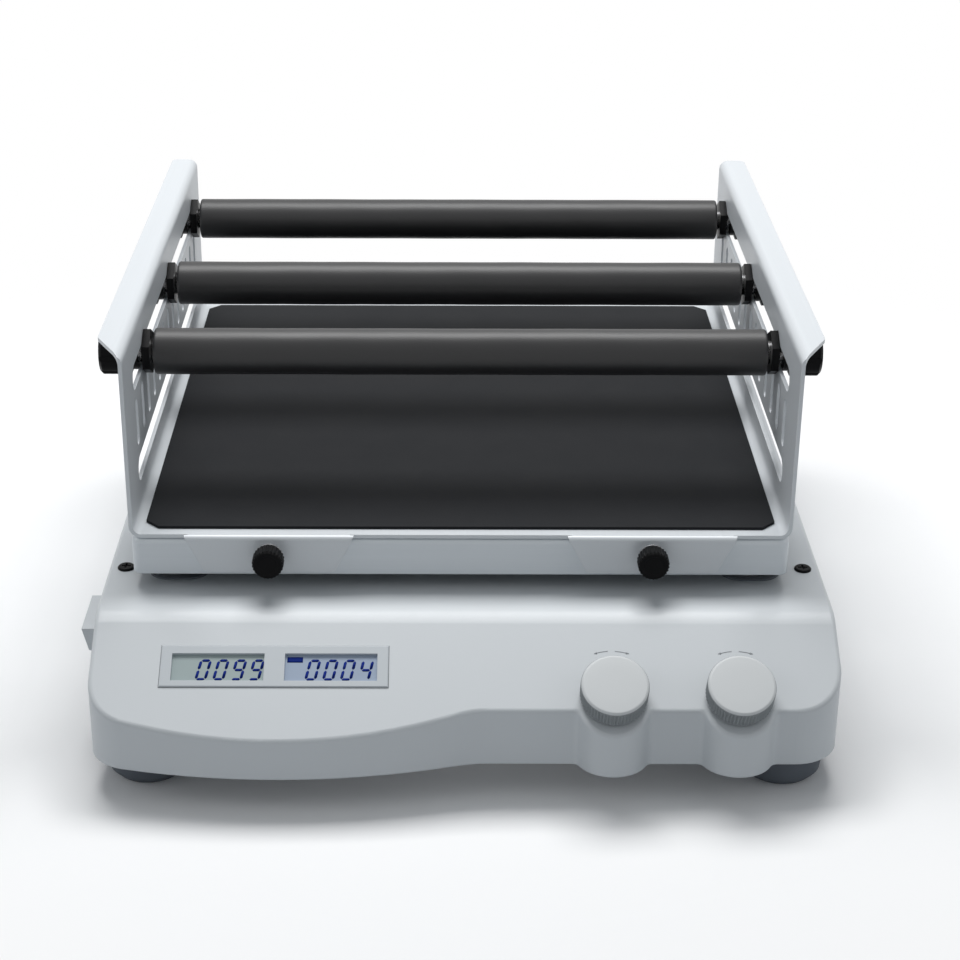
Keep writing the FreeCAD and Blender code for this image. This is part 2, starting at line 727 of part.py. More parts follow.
def housing_openings(body):
    """Every opening of the housing: post slots, screw wells, display, knobs, switch and inlet."""
    drawing = sketch(body, offset="deck_top")
    for x in ("-post_spread / 2", "post_spread / 2"):
        for y in ("table_centre - post_spread / 2", "table_centre + post_spread / 2"):
            slot(drawing, x, y, SLOT_HALF_X, SLOT_HALF_Y)
    pocket(body, drawing, "housing_wall * 1.2")
    for radius, depth in (("cap_stem_radius", "deck_top - cover_screw_seat"),
                          ("cover_screw_radius", f"deck_top - {PLATE_TOP}")):
        drawing = sketch(body, offset="deck_top")
        for x in ("-cover_screw_spread_x / 2", "cover_screw_spread_x / 2"):
            for y in ("-cover_screw_front", "cover_screw_spread_y - cover_screw_front"):
                circle(drawing, x, y, radius)
        pocket(body, drawing, depth)
    drawing = panel_sketch(body, "-display_x", "display_rise")
    rectangle(drawing, "-display_width / 2 + bezel_border", "display_width / 2 - bezel_border",
              "-display_height / 2 + bezel_border", "display_height / 2 - bezel_border")
    pocket(body, drawing, "housing_wall * 3", both_ways=True)
    for knob_x in ("speed_knob_x", "time_knob_x"):
        drawing = panel_sketch(body, knob_x)
        circle(drawing, "0", "0", "bushing_radius")
        pocket(body, drawing, "housing_wall * 3", both_ways=True)
    drawing = sketch(body, "YZ_Plane", "-base_width / 2")
    rectangle(drawing, "-hood_centre - switch_width / 2 + switch_border",
              "-hood_centre + switch_width / 2 - switch_border",
              "switch_height - switch_tall / 2 + switch_border",
              "switch_height + switch_tall / 2 - switch_border")
    pocket(body, drawing, "housing_wall * 3", both_ways=True)
    drawing = sketch(body, "XZ_Plane", "-base_back")
    rectangle(drawing, "-inlet_x - inlet_width / 2 + inlet_border",
              "-inlet_x + inlet_width / 2 - inlet_border",
              "inlet_height - inlet_tall / 2 + inlet_border", "inlet_height + inlet_tall / 2 - inlet_border")
    pocket(body, drawing, "housing_wall * 3", both_ways=True)


def base_plate():
    """The cast plate that closes the bottom and carries the drive, with two beds for the rails."""
    body = start("base_plate")
    drawing = sketch(body, offset="plate_bottom")
    inset = "housing_wall + plate_gap"
    corners = plan_outline(drawing, inset)
    solid = pad(body, drawing, "plate_thick")
    solid = rounded(body, solid, "left_corner_radius", upright_at([corners[1]]))
    solid = rounded(body, solid, "right_corner_radius", upright_at([corners[3]]))
    rounded(body, solid, "back_corner_radius", upright_at([corners[0], corners[4]]))
    for knob_x in ("speed_knob_x", "time_knob_x"):
        disc(body, f"boss_radius - ({inset})", "plate_bottom", PLATE_TOP, knob_x, "-knob_row")
    for side in ("-", "+"):
        bed = f"table_centre {side} rail_spacing / 2"
        block(body, "-rail_length / 2", "rail_length / 2", f"{bed} - rail_bed_width / 2",
              f"{bed} + rail_bed_width / 2", PLATE_TOP, "rail_bottom")
    holes = bore(body, "foot_screw_radius", "plate_bottom", PLATE_TOP, "-foot_spread_x / 2", "-foot_front")
    row(body, [holes], "foot_spread_x", "foot_spread_y")
    holes = bore(body, "cover_screw_radius", "plate_bottom", PLATE_TOP, "-cover_screw_spread_x / 2",
                 "-cover_screw_front")
    row(body, [holes], "cover_screw_spread_x", "cover_screw_spread_y")


def feet():
    """Four rubber feet with a recess for their screws."""
    body = start("feet", "-foot_spread_x / 2", "-foot_front")
    shoulder = "base_bottom - 0.5"
    solid = lathe(body, [("foot_screw_head", "0"), ("foot_sole_radius", "0"),
                         ("foot_radius - 0.8", "3.5"), ("foot_radius", "9"), ("foot_radius", shoulder),
                         ("foot_stem_radius", shoulder), ("foot_stem_radius", "plate_bottom"),
                         ("foot_screw_radius", "plate_bottom"), ("foot_screw_radius", "foot_recess"),
                         ("foot_screw_head", "foot_recess")])
    row(body, [solid], "foot_spread_x", "foot_spread_y")


def foot_screws():
    """The screws that hold the feet."""
    body = start("foot_screws", "-foot_spread_x / 2", "-foot_front")
    solid = lathe(body, [("0", "foot_recess - 3.5"), ("foot_screw_head", "foot_recess - 3.5"),
                         ("foot_screw_head", "foot_recess"), ("foot_screw_radius", "foot_recess"),
                         ("foot_screw_radius", PLATE_TOP), ("0", PLATE_TOP)])
    row(body, [solid], "foot_spread_x", "foot_spread_y")


def housing_screws():
    """The four long screws that hold the housing on the base plate."""
    body = start("housing_screws", "-cover_screw_spread_x / 2", "-cover_screw_front")
    head = "cover_screw_seat + cover_screw_head_height"
    solid = lathe(body, [("0", "plate_bottom"), ("cover_screw_radius", "plate_bottom"),
                         ("cover_screw_radius", "cover_screw_seat"), ("cover_screw_head", "cover_screw_seat"),
                         ("cover_screw_head", head), ("0", head)])
    row(body, [solid], "cover_screw_spread_x", "cover_screw_spread_y")


def deck_caps():
    """Black caps that close the screw wells in the deck."""
    body = start("deck_caps", "-cover_screw_spread_x / 2", "-cover_screw_front")
    stem = "cover_screw_seat + cover_screw_head_height + 1"
    solid = lathe(body, [("0", stem), ("cap_stem_radius", stem), ("cap_stem_radius", "deck_top"),
                         ("cap_radius", "deck_top"), ("cap_radius", "deck_top + cap_height / 2"),
                         ("cap_radius - cap_height / 2", "deck_top + cap_height"),
                         ("0", "deck_top + cap_height")])
    long_side, short_side = "cap_slot_length / 2", "cap_slot_width / 2"
    floor = "deck_top + cap_height - cap_slot_depth"
    slots = [window(body, f"-({x})", x, f"-({y})", y, floor, "deck_top + cap_height")
             for x, y in ((long_side, short_side), (short_side, long_side))]
    row(body, [solid] + slots, "cover_screw_spread_x", "cover_screw_spread_y")


def display_bezel():
    """The pale frame round the two screens."""
    body = on_panel("display_bezel", "-display_x", "display_rise")
    half_x, half_y = "display_width / 2", "display_height / 2"
    plate = block(body, f"-{half_x}", half_x, f"-{half_y}", half_y, "0", "bezel_proud")
    DOC.recompute()
    rim = SIZES["bezel_proud"]
    bevelled(body, plate, "bezel_proud * 0.6", at_height(rim))
    inset = "bezel_border + fit_clearance"
    block(body, f"-{half_x} + {inset}", f"{half_x} - ({inset})", f"-{half_y} + {inset}",
          f"{half_y} - ({inset})", "-bezel_skirt", "0")
    for side in ("-", ""):
        centre = f"{side}screen_spacing / 2"
        window(body, f"{centre} - screen_width / 2", f"{centre} + screen_width / 2",
               "-screen_height / 2 - screen_drop", "screen_height / 2 - screen_drop",
               "-bezel_skirt", "bezel_proud")


def screen(label, side):
    """One display module, seated on the circuit board behind its window."""
    body = on_panel(label, f"-display_x {side} screen_spacing / 2", "display_rise - screen_drop")
    half_x = "(screen_width / 2 + module_margin)"
    half_y = "(screen_height / 2 + module_margin / 2)"
    block(body, f"-{half_x}", half_x, f"-{half_y}", half_y, "-bezel_skirt - 3", "-bezel_skirt")
    block(body, f"-{half_x} + 3", f"{half_x} - 3", f"-{half_y} + 1.5", f"{half_y} - 1.5",
          "-board_depth", "-bezel_skirt - 3")


def control_board():
    """The circuit board that carries the screens and both encoders, with its main chips and plugs."""
    body = on_panel("control_board", "0")
    block(body, "-board_left", "board_right", "-board_low", "board_high", "-board_depth - board_thick",
          "-board_depth")
    under = "-board_depth - board_thick"
    for x, y, wide, deep, tall in ((-40, 12, 14, 14, 2), (20, 14, 24, 10, 5), (-100, 14, 30, 8, 5)):
        block(body, str(x - wide / 2), str(x + wide / 2), str(y - deep / 2), str(y + deep / 2),
              f"{under} - {tall}", under)


def encoder(name, x):
    """A push-and-turn encoder: its case and threaded bushing."""
    body = on_panel(f"{name}_encoder", x)
    half = "encoder_side / 2"
    block(body, f"-{half}", half, f"-{half}", half, "-board_depth", "-board_depth + encoder_height")
    disc(body, "bushing_radius", "-board_depth + encoder_height", "bushing_proud")
    bore(body, "rotor_radius + shaft_clearance", "-rotor_depth", "bushing_proud")


def rotor(name, x):
    """The encoder's turning sleeve, in which the knob's shaft slides when it is pushed."""
    body = on_panel(f"{name}_rotor", x)
    disc(body, "rotor_radius", "-rotor_depth + moving_clearance", "bushing_proud - moving_clearance")
    bore(body, "shaft_radius + shaft_clearance", "-rotor_depth + moving_clearance + 0.6",
         "bushing_proud - moving_clearance")


def knob(name, x):
    """A knurled knob with a plain bevelled face, hollow underneath, and its shaft."""
    body = on_panel(f"{name}_knob", x)
    low, high = "knob_lift", "(knob_lift + knob_height)"
    roof = f"({high} - 3)"
    inner = "(knob_radius - knob_skirt_wall)"
    ledge = "(knob_lift + knob_knurl_height)"
    lathe(body, [("0", "-shaft_depth"), ("shaft_radius", "-shaft_depth"), ("shaft_radius", low),
                 ("knob_hub_radius", low), ("knob_hub_radius", roof), (inner, roof), (inner, low),
                 ("knob_radius - 0.6", low), ("knob_radius", f"{low} + 0.6"), ("knob_radius", ledge),
                 ("knob_radius - 0.5", f"{ledge} + 0.5"), ("knob_radius - 0.5", f"{high} - knob_bevel"),
                 ("knob_radius - 0.5 - knob_bevel", high), ("0", high)])
    drawing = sketch(body, offset=f"{ledge} + 0.2")
    circle(drawing, "knob_radius + knurl_radius * 0.3", "0", "knurl_radius")
    notch = pocket(body, drawing, "knob_knurl_height + 0.3")
    ring(body, [notch], "knurl_count")


def power_switch():
    """The rocker switch's case in the left wall, under its hood."""
    body = start("power_switch", "-base_width / 2", "-hood_centre", "switch_height")
    half_y, half_z = "switch_width / 2", "switch_tall / 2"
    block(body, "-switch_flange", "0", f"-{half_y}", half_y, f"-{half_z}", half_z)
    inset = "(switch_border + fit_clearance)"
    block(body, "0", "switch_depth", f"-{half_y} + {inset}", f"{half_y} - {inset}",
          f"-{half_z} + {inset}", f"{half_z} - {inset}")
    drawing = sketch(body, "YZ_Plane", "-switch_flange")
    wall = "(switch_border + fit_clearance + switch_wall)"
    rectangle(drawing, f"-{half_y} + {wall}", f"{half_y} - {wall}", f"-{half_z} + {wall}",
              f"{half_z} - {wall}")
    pocket(body, drawing, "switch_flange + 8", backwards=True)


def power_rocker():
    """The switch's rocker, which rests tipped to one side."""
    body = start("power_rocker", "-base_width / 2 + rocker_pivot", "-hood_centre", "switch_height",
                 VECTOR(0, 1, 0), "rocker_tilt")
    drawing = sketch(body, "XZ_Plane")
    outline(drawing, [("-3.9", "-4.7"), ("-2.0", "0"), ("-3.9", "4.7"), ("1.5", "4.7"), ("4.2", "1.6"),
                      ("4.2", "-1.6"), ("1.5", "-4.7")])
    side = "switch_border + fit_clearance + switch_wall + moving_clearance"
    pad(body, drawing, f"switch_width - 2 * ({side})", both_ways=True)


def power_inlet():
    """The three-pin mains inlet in the back wall."""
    body = start("power_inlet", "-inlet_x", "base_back", "inlet_height")
    half_x, half_z = "inlet_width / 2", "inlet_tall / 2"
    block(body, f"-{half_x}", half_x, "0", "inlet_flange", f"-{half_z}", half_z)
    inset = "(inlet_border + fit_clearance)"
    block(body, f"-{half_x} + {inset}", f"{half_x} - {inset}", "-inlet_depth", "0", f"-{half_z} + {inset}",
          f"{half_z} - {inset}")
    drawing = sketch(body, "XZ_Plane", "-inlet_flange")
    wall = "(inlet_border + socket_wall)"
    rectangle(drawing, f"-{half_x} + {wall}", f"{half_x} - {wall}", f"-{half_z} + {wall}",
              f"{half_z} - {wall}")
    pocket(body, drawing, "inlet_flange + socket_depth", backwards=True)
    drawing = sketch(body, "XZ_Plane", "socket_depth")
    for x, low in (("-7", "-3"), ("0", "-7"), ("7", "-3")):
        rectangle(drawing, f"{x} - 1", f"{x} + 1", low, f"{low} + 4")
    pad(body, drawing, "socket_depth - 2", backwards=True)


def power_supply():
    """The open-frame supply: a board on feet with its transformer, heat sink and capacitors."""
    body = start("power_supply", "0", "supply_y", PLATE_TOP)
    half_x, half_y = "supply_width / 2", "supply_deep / 2"
    block(body, f"-{half_x}", half_x, f"-{half_y}", half_y, "5", "6.6")
    for x in (f"-{half_x} + 5", f"{half_x} - 5"):
        for y in (f"-{half_y} + 5", f"{half_y} - 5"):
            disc(body, "standoff_radius", "0", "5", x, y)
    block(body, "-8", "24", "-16", "16", "6.6", "32")
    block(body, f"-{half_x} + 6", f"-{half_x} + 10", f"-{half_y} + 10", f"{half_y} - 10", "6.6", "30")
    for x in ("-36", "-22"):
        disc(body, "6", "6.6", "28", x, "-14")
    block(body, f"{half_x} - 24", f"{half_x} - 10", f"-{half_y} + 8", f"{half_y} - 8", "6.6", "18")


def drive_bracket():
    """The bracket that carries the motor and, in its ribbed hub, the crank's two bearings."""
    body = start("drive_bracket", "-crank_x", "table_centre")
    half = "bracket_half_width"
    plate = block(body, f"-belt_span - {half}", f"{half} * 0.8", f"-{half}", half, PLATE_TOP, BRACKET_TOP)
    spots = [(-SIZES["belt_span"] - SIZES[half], SIZES[half] * side) for side in (-1, 1)]
    spots += [(SIZES[half] * 0.8, SIZES[half] * side) for side in (-1, 1)]
    rounded(body, plate, "12", upright_at(spots))
    disc(body, "hub_radius", BRACKET_TOP, "hub_top")
    drawing = sketch(body, "XZ_Plane")
    outline(drawing, [("hub_radius - 1", BRACKET_TOP), (f"{half} * 0.75", BRACKET_TOP),
                      ("hub_radius - 1", "hub_top - 2")])
    rib = pad(body, drawing, "3", both_ways=True)
    ring(body, [rib], "hub_rib_pairs")
    well = "(hub_top - 2 * bearing_height)"
    bore(body, "bearing_radius", well, "hub_top")
    bore(body, "crank_radius + 2", PLATE_TOP, "hub_top")


def crank_bearings():
    """The two ball bearings of the crank shaft, one above the other."""
    body = start("crank_bearings", "-crank_x", "table_centre")
    for low in ("hub_top - 2 * bearing_height", "hub_top - bearing_height + bearing_gap"):
        high = f"{low} + bearing_height - bearing_gap"
        lathe(body, [("crank_radius + shaft_clearance", low), ("bearing_radius", low),
                     ("bearing_radius", high), ("bearing_radius - 2.5", high),
                     ("bearing_radius - 2.5", f"{high} - 0.6"),
                     ("crank_radius + 2.5", f"{high} - 0.6"), ("crank_radius + 2.5", high),
                     ("crank_radius + shaft_clearance", high)])


def motor():
    """The flat brushless motor on the bracket."""
    body = start("motor", "-crank_x - belt_span", "table_centre")
    top = f"({BRACKET_TOP} + motor_height)"
    lathe(body, [("motor_shaft_radius + shaft_clearance", f"{BRACKET_TOP} + 2"), ("0", f"{BRACKET_TOP} + 2"),
                 ("0", BRACKET_TOP), ("motor_radius", BRACKET_TOP), ("motor_radius", f"{top} - 3"),
                 ("motor_radius - 3", top), ("motor_radius / 2", top), ("motor_radius / 2", f"{top} - 1.5"),
                 ("motor_shaft_radius + 3", f"{top} - 1.5"), ("motor_shaft_radius + 3", top),
                 ("motor_shaft_radius + shaft_clearance", top)])


def motor_pulley():
    """The motor's shaft and its small flanged pulley."""
    body = start("motor_pulley", "-crank_x - belt_span", "table_centre")
    foot = f"({BRACKET_TOP} + 2 + moving_clearance)"
    low, high = f"({BELT_LOW} - moving_clearance)", f"({BELT_LOW} + belt_width + moving_clearance)"
    lathe(body, [("0", foot), ("motor_shaft_radius", foot), ("motor_shaft_radius", f"{low} - 1"),
                 ("motor_flange_radius", f"{low} - 1"), ("motor_flange_radius", low),
                 ("motor_pulley_radius", low), ("motor_pulley_radius", high), ("motor_flange_radius", high),
                 ("motor_flange_radius", f"{high} + 1"), ("0", f"{high} + 1")])


def belt_loop(drawing, grow):
    """The closed line that a belt follows round both pulleys, that much outside their rims."""
    big, small = f"(driven_pulley_radius + {grow})", f"(motor_pulley_radius + {grow})"
    lean = "((driven_pulley_radius - motor_pulley_radius) / belt_span)"
    rise = f"sqrt(1 - {lean} ^ 2)"
    corners = [(f"-{lean} * {big}", f"-{rise} * {big}"), (f"-{lean} * {big}", f"{rise} * {big}"),
               (f"-belt_span - {lean} * {small}", f"{rise} * {small}"),
               (f"-belt_span - {lean} * {small}", f"-{rise} * {small}")]
    outline(drawing, corners, {0: (big, "0", "Radius", big),
                               2: (f"-belt_span - {small}", "0", "Radius", small)})


def drive_belt():
    """The belt round both pulleys, running clear of their rims."""
    body = start("drive_belt", "-crank_x", "table_centre", BELT_LOW)
    drawing = sketch(body)
    belt_loop(drawing, "(moving_clearance + belt_thick)")
    belt_loop(drawing, "moving_clearance")
    pad(body, drawing, "belt_width")


def crank_shaft():
    """The crank: a shaft with a web whose pin stands off centre by the throw."""
    body = start("crank_shaft", "-crank_x", "table_centre", "0", VECTOR(0, 0, 1), CRANK_TURN)
    disc(body, "crank_radius", f"{PLATE_TOP} + 1", "pulley_top")
    disc(body, "web_radius", "pulley_top", "pulley_top + web_height")
    disc(body, "pin_radius", "pulley_top + web_height", f"{ROD_TOP} - moving_clearance", "0", "crank_throw")


def driven_pulley():
    """The large pulley on the crank shaft, with a recessed web and six lightening holes."""
    body = start("driven_pulley", "-crank_x", "table_centre", "0", VECTOR(0, 0, 1), CRANK_TURN)
    web = "(pulley_bottom + pulley_web)"
    rim = "(driven_pulley_radius - pulley_rim)"
    lathe(body, [("crank_radius", "pulley_bottom"), ("driven_pulley_radius", "pulley_bottom"),
                 ("driven_pulley_radius", "pulley_top"), (rim, "pulley_top"), (rim, web),
                 ("web_radius", web), ("web_radius", "pulley_top"), ("crank_radius", "pulley_top")])
    drawing = sketch(body, offset=web)
    circle(drawing, "0", "(web_radius + driven_pulley_radius - pulley_rim) / 2", "6")
    hole = pocket(body, drawing, "pulley_web")
    ring(body, [hole], "pulley_hole_count")


def counterweight():
    """The balance weight in the pulley's recess, opposite the crank pin."""
    body = start("counterweight", "-crank_x", "table_centre", "0", VECTOR(0, 0, 1), CRANK_TURN)
    drawing = sketch(body, offset="(pulley_bottom + pulley_web)")
    outer, inner = "weight_outer", "weight_inner"
    wide, deep = "cos(15 deg)", "sin(15 deg)"
    corners = [(f"-{outer} * {wide}", f"-{outer} * {deep}"), (f"{outer} * {wide}", f"-{outer} * {deep}"),
               (f"{inner} * {wide}", f"-{inner} * {deep}"), (f"-{inner} * {wide}", f"-{inner} * {deep}")]
    outline(drawing, corners, {0: ("0", f"-{outer}", "Radius", outer),
                               2: ("0", f"-{inner}", "Radius", inner)})
    pad(body, drawing, "weight_height")


def connecting_rod():
    """The rod from the crank pin to the drive pin: two eyes joined by a shank with a recess on each side."""
    body = ride("connecting_rod", "-crank_x", f"table_centre + {PIN_SIDE}", "rod_bottom", VECTOR(0, 0, -1),
                f"asin({PIN_SIDE} / rod_span)")
    disc(body, "rod_big_eye", "0", "rod_thick")
    disc(body, "rod_small_eye", "0", "rod_thick", "rod_span")
    block(body, "rod_big_eye / 2", "rod_span - rod_small_eye / 2", "-rod_width / 2", "rod_width / 2", "0",
          "rod_thick")
    window(body, "rod_big_eye + 4", "rod_span - rod_small_eye - 4", "-rod_width / 2 + 2.5",
           "rod_width / 2 - 2.5", "rod_thick - 1.5", "rod_thick")
    bore(body, "rod_big_bore", "0", "rod_thick")
    bore(body, "rod_small_bore", "0", "rod_thick", "rod_span")


def rod_bearings():
    """The bearings in both eyes of the connecting rod."""
    body = ride("rod_bearings", "-crank_x", f"table_centre + {PIN_SIDE}", "rod_bottom", VECTOR(0, 0, -1),
                f"asin({PIN_SIDE} / rod_span)")
    disc(body, "rod_big_bore", "0", "rod_thick")
    disc(body, "rod_small_bore", "0", "rod_thick", "rod_span")
    bore(body, "pin_radius + shaft_clearance", "0", "rod_thick")
    bore(body, "pin_radius + shaft_clearance", "0", "rod_thick", "rod_span")


def guide_rails():
    """The two hardened rails, with a ball groove along each side."""
    body = start("guide_rails", "0", "table_centre", "rail_bottom")
    drawing = sketch(body, "YZ_Plane")
    for side in ("-", "+"):
        middle = f"{side} rail_spacing / 2"
        half = "rail_width / 2"
        right = [(f"{middle} + {half}", low) for low in ("0", "rail_height * 0.4")]
        right += [(f"{middle} + {half} - rail_groove", "rail_height * 0.6"),
                  (f"{middle} + {half}", "rail_height * 0.8"), (f"{middle} + {half}", "rail_height")]
        left = [(f"{middle} - {half}", "rail_height"), (f"{middle} - {half}", "rail_height * 0.8"),
                (f"{middle} - {half} + rail_groove", "rail_height * 0.6"),
                (f"{middle} - {half}", "rail_height * 0.4"), (f"{middle} - {half}", "0")]
        outline(drawing, right + left)
    pad(body, drawing, "rail_length", both_ways=True)


def rail_blocks():
    """The four bearing blocks that ride on the rails."""
    body = ride("rail_blocks", "-block_spacing / 2", "table_centre - rail_spacing / 2", "block_bottom")
    half = "block_length / 2"
    core = block(body, f"-{half} + 4", f"{half} - 4", "-block_width / 2", "block_width / 2", "0",
                 "block_height")
    caps = block(body, f"-{half}", half, "-block_width / 2 + 1", "block_width / 2 - 1", "0.5",
                 "block_height - 1")
    gap = "rail_width / 2 + moving_clearance"
    channel = window(body, f"-{half}", half, f"-({gap})", gap, "0", "block_drop + moving_clearance")
    row(body, [core, caps, channel], "block_spacing", "rail_spacing")


def carriage_frame():
    """The moving frame over the blocks, cut away between its bars."""
    body = ride("carriage_frame", "0", "table_centre", BLOCK_TOP)
    half = "frame_half"
    plate = block(body, f"-{half}", half, f"-{half}", half, "0", "frame_thick")
    side = number(half)
    rounded(body, plate, "frame_corner", upright_at([(x * side, y * side) for x in (-1, 1) for y in (-1, 1)]))
    inner = "(rail_spacing / 2 - frame_bar / 2)"
    outer = "(rail_spacing / 2 + frame_bar / 2)"
    wing = "(frame_half - frame_side_bar)"
    middle = "(rod_span - crank_x)"
    window(body, f"-{wing}", f"{middle} - frame_bar / 2", f"-{inner}", inner, "0", "frame_thick")
    window(body, f"{middle} + frame_bar / 2", wing, f"-{inner}", inner, "0", "frame_thick")
    for low, high in ((f"-{wing}", f"-{outer}"), (outer, wing)):
        window(body, f"-{wing}", "-frame_bar / 2", low, high, "0", "frame_thick")
        window(body, "frame_bar / 2", wing, low, high, "0", "frame_thick")


def drive_pin():
    """The pin under the carriage that the connecting rod drives, ending just above the rod's eye."""
    body = ride("drive_pin", "rod_span - crank_x", "table_centre")
    disc(body, "rod_small_bore + 2", f"{BLOCK_TOP} - 2.5", BLOCK_TOP)
    disc(body, "pin_radius", f"{ROD_TOP} + open_pivot_gap", f"{BLOCK_TOP} - 2.5")


def support_posts():
    """Four posts that carry the platform through the slots in the deck."""
    body = ride("support_posts", "-post_spread / 2", "table_centre - post_spread / 2", "frame_top")
    tall = f"({PLATFORM_UNDER} - frame_top)"
    solid = disc(body, "post_radius", "0", tall)
    well = bore(body, "table_screw_radius", f"{tall} - table_screw_reach", tall)
    row(body, [solid, well], "post_spread", "post_spread")


def post_seals():
    """Rubber rings on the deck round the four slots."""
    body = start("post_seals", "-post_spread / 2", "table_centre - post_spread / 2", "deck_top")
    drawing = sketch(body)
    slot(drawing, "0", "0", f"{SLOT_HALF_X} + seal_rim", f"{SLOT_HALF_Y} + seal_rim")
    slot(drawing, "0", "0", f"{SLOT_HALF_X} - 0.6", f"{SLOT_HALF_Y} - 0.6")
    solid = pad(body, drawing, "seal_height")
    row(body, [solid], "post_spread", "post_spread")


def platform():
    """The shaking platform: a shallow inverted tray with screw seats and weld nuts inside."""
    body = ride("platform", "0", "table_centre")
    half = "platform_side / 2"
    solid = block(body, f"-{half}", half, f"-{half}", half, "platform_bottom", "platform_top")
    side = SIZES["platform_side"] / 2
    corners = [(x * side, y * side) for x in (-1, 1) for y in (-1, 1)]
    solid = rounded(body, solid, "platform_corner", upright_at(corners))
    solid = rounded(body, solid, "platform_edge", at_height(number("platform_top")))
    inner = f"({half} - platform_sheet)"
    window(body, f"-{inner}", inner, f"-{inner}", inner, "platform_bottom", PLATFORM_UNDER)
    drawing = sketch(body, "XZ_Plane", f"{half} - platform_sheet / 2")
    for sign in ("-", ""):
        circle(drawing, f"{sign}tab_spacing / 2", "thumb_height", "weld_nut_radius")
    pad(body, drawing, "weld_nut_length + platform_sheet / 2", backwards=True)
    drawing = sketch(body, "XZ_Plane", half)
    for sign in ("-", ""):
        circle(drawing, f"{sign}tab_spacing / 2", "thumb_height", "thumb_radius + shaft_clearance")
    pocket(body, drawing, "thumb_reach * 2")
    hole = lathe_hole(body)
    row(body, [hole], "post_spread", "post_spread")


def lathe_hole(body):
    """A countersunk screw hole over the first post."""
    drawing = sketch(body, "XZ_Plane", "post_spread / 2")
    spot = "(-post_spread / 2)"
    outline(drawing, [(spot, PLATFORM_UNDER), (f"{spot} + table_screw_radius", PLATFORM_UNDER),
                      (f"{spot} + table_screw_head", "platform_top"), (spot, "platform_top")])
    feature = body.newObject("PartDesign::Groove", "Countersink")
    feature.Profile = drawing
    feature.ReferenceAxis = (drawing, ["Edge4"])
    feature.Angle = 360.0
    return feature


def platform_screws():
    """The countersunk screws that hold the platform on its posts."""
    body = ride("platform_screws", "-post_spread / 2", "table_centre - post_spread / 2")
    low = f"{PLATFORM_UNDER} - table_screw_reach + 1"
    solid = lathe(body, [("0", low), ("table_screw_radius", low), ("table_screw_radius", PLATFORM_UNDER),
                         ("table_screw_head", "platform_top"), ("0", "platform_top")])
    row(body, [solid], "post_spread", "post_spread")


def clamping_tray():
    """The folded sheet tray: floor, two slotted walls with outward flanges, and two front tabs."""
    body = ride("clamping_tray", "0", "table_centre")
    out, sheet = "(tray_width / 2)", "tray_sheet"
    wall = f"({out} - {sheet})"
    edge = f"({wall} + flange_reach + {sheet})"
    drawing = sketch(body, "XZ_Plane")
    right = [(out, "platform_top"), (out, f"tray_top - {sheet}"), (edge, f"tray_top - {sheet}"),
             (edge, "tray_top"), (wall, "tray_top"), (wall, TRAY_FLOOR)]
    left = [(f"-{x}", z) for x, z in reversed(right)]
    outline(drawing, right + left)
    solid = pad(body, drawing, "tray_depth", both_ways=True)
    inside = [(number(wall) * side, number(TRAY_FLOOR)) for side in (-1, 1)]
    solid = rounded(body, solid, "tray_bend", along("Y", inside))
    outside = [(number(out) * side, number("platform_top")) for side in (-1, 1)]
    solid = rounded(body, solid, "tray_bend + tray_sheet", along("Y", outside))
    crease = [(number(out) * side, number("tray_top - tray_sheet")) for side in (-1, 1)]
    solid = rounded(body, solid, "flange_bend", along("Y", crease))
    crown = [(number(wall) * side, number("tray_top")) for side in (-1, 1)]
    solid = rounded(body, solid, "flange_bend + tray_sheet", along("Y", crown))
    drawing = sketch(body, offset="tray_top")
    front, nose = "-tray_depth / 2", "-tray_depth / 2 + flange_slant"
    for sign in ("-", ""):
        outline(drawing, [(f"{sign}{edge}", nose), (f"{sign}{edge}", front), (f"{sign}{out}", front)])
    solid = pocket(body, drawing, "2 * tray_sheet + flange_bend")
    ends = [(number(edge) * side, number(y)) for side in (-1, 1) for y in (nose, "tray_depth / 2")]
    rounded(body, solid, "flange_corner", upright_at(ends))
    tray_tabs(body)
    tray_slots(body)


def tray_tabs(body):
    """Two tabs that fold down over the platform's front, each with a hole for a thumb screw."""
    for sign in ("-", ""):
        centre = f"{sign}tab_spacing / 2"
        drawing = sketch(body, "XZ_Plane", TAB_BACK)
        low = f"{TRAY_FLOOR} - tab_drop"
        outline(drawing, [(f"{centre} - tab_top_width / 2", TRAY_FLOOR),
                          (f"{centre} - tab_bottom_width / 2", low),
                          (f"{centre} + tab_bottom_width / 2", low),
                          (f"{centre} + tab_top_width / 2", TRAY_FLOOR)])
        solid = pad(body, drawing, "tray_sheet")
        feet = [(number(f"{centre} {side} tab_bottom_width / 2"), number(low)) for side in ("-", "+")]
        rounded(body, solid, "tab_corner", along("Y", feet))
        solid = block(body, f"{centre} - tab_top_width / 2 + tray_sheet",
                      f"{centre} + tab_top_width / 2 - tray_sheet", f"-{TAB_BACK} - tray_sheet / 2",
                      "-tray_depth / 2 + 1", "platform_top", TRAY_FLOOR)
    fold = (-number(TAB_FRONT), number(TRAY_FLOOR))
    rounded(body, solid, "tab_bend", along("X", [fold]))
    drawing = sketch(body, "XZ_Plane", TAB_FRONT)
    for sign in ("-", ""):
        circle(drawing, f"{sign}tab_spacing / 2", "thumb_height", "thumb_radius + moving_clearance")
    pocket(body, drawing, "tray_sheet * 1.5")


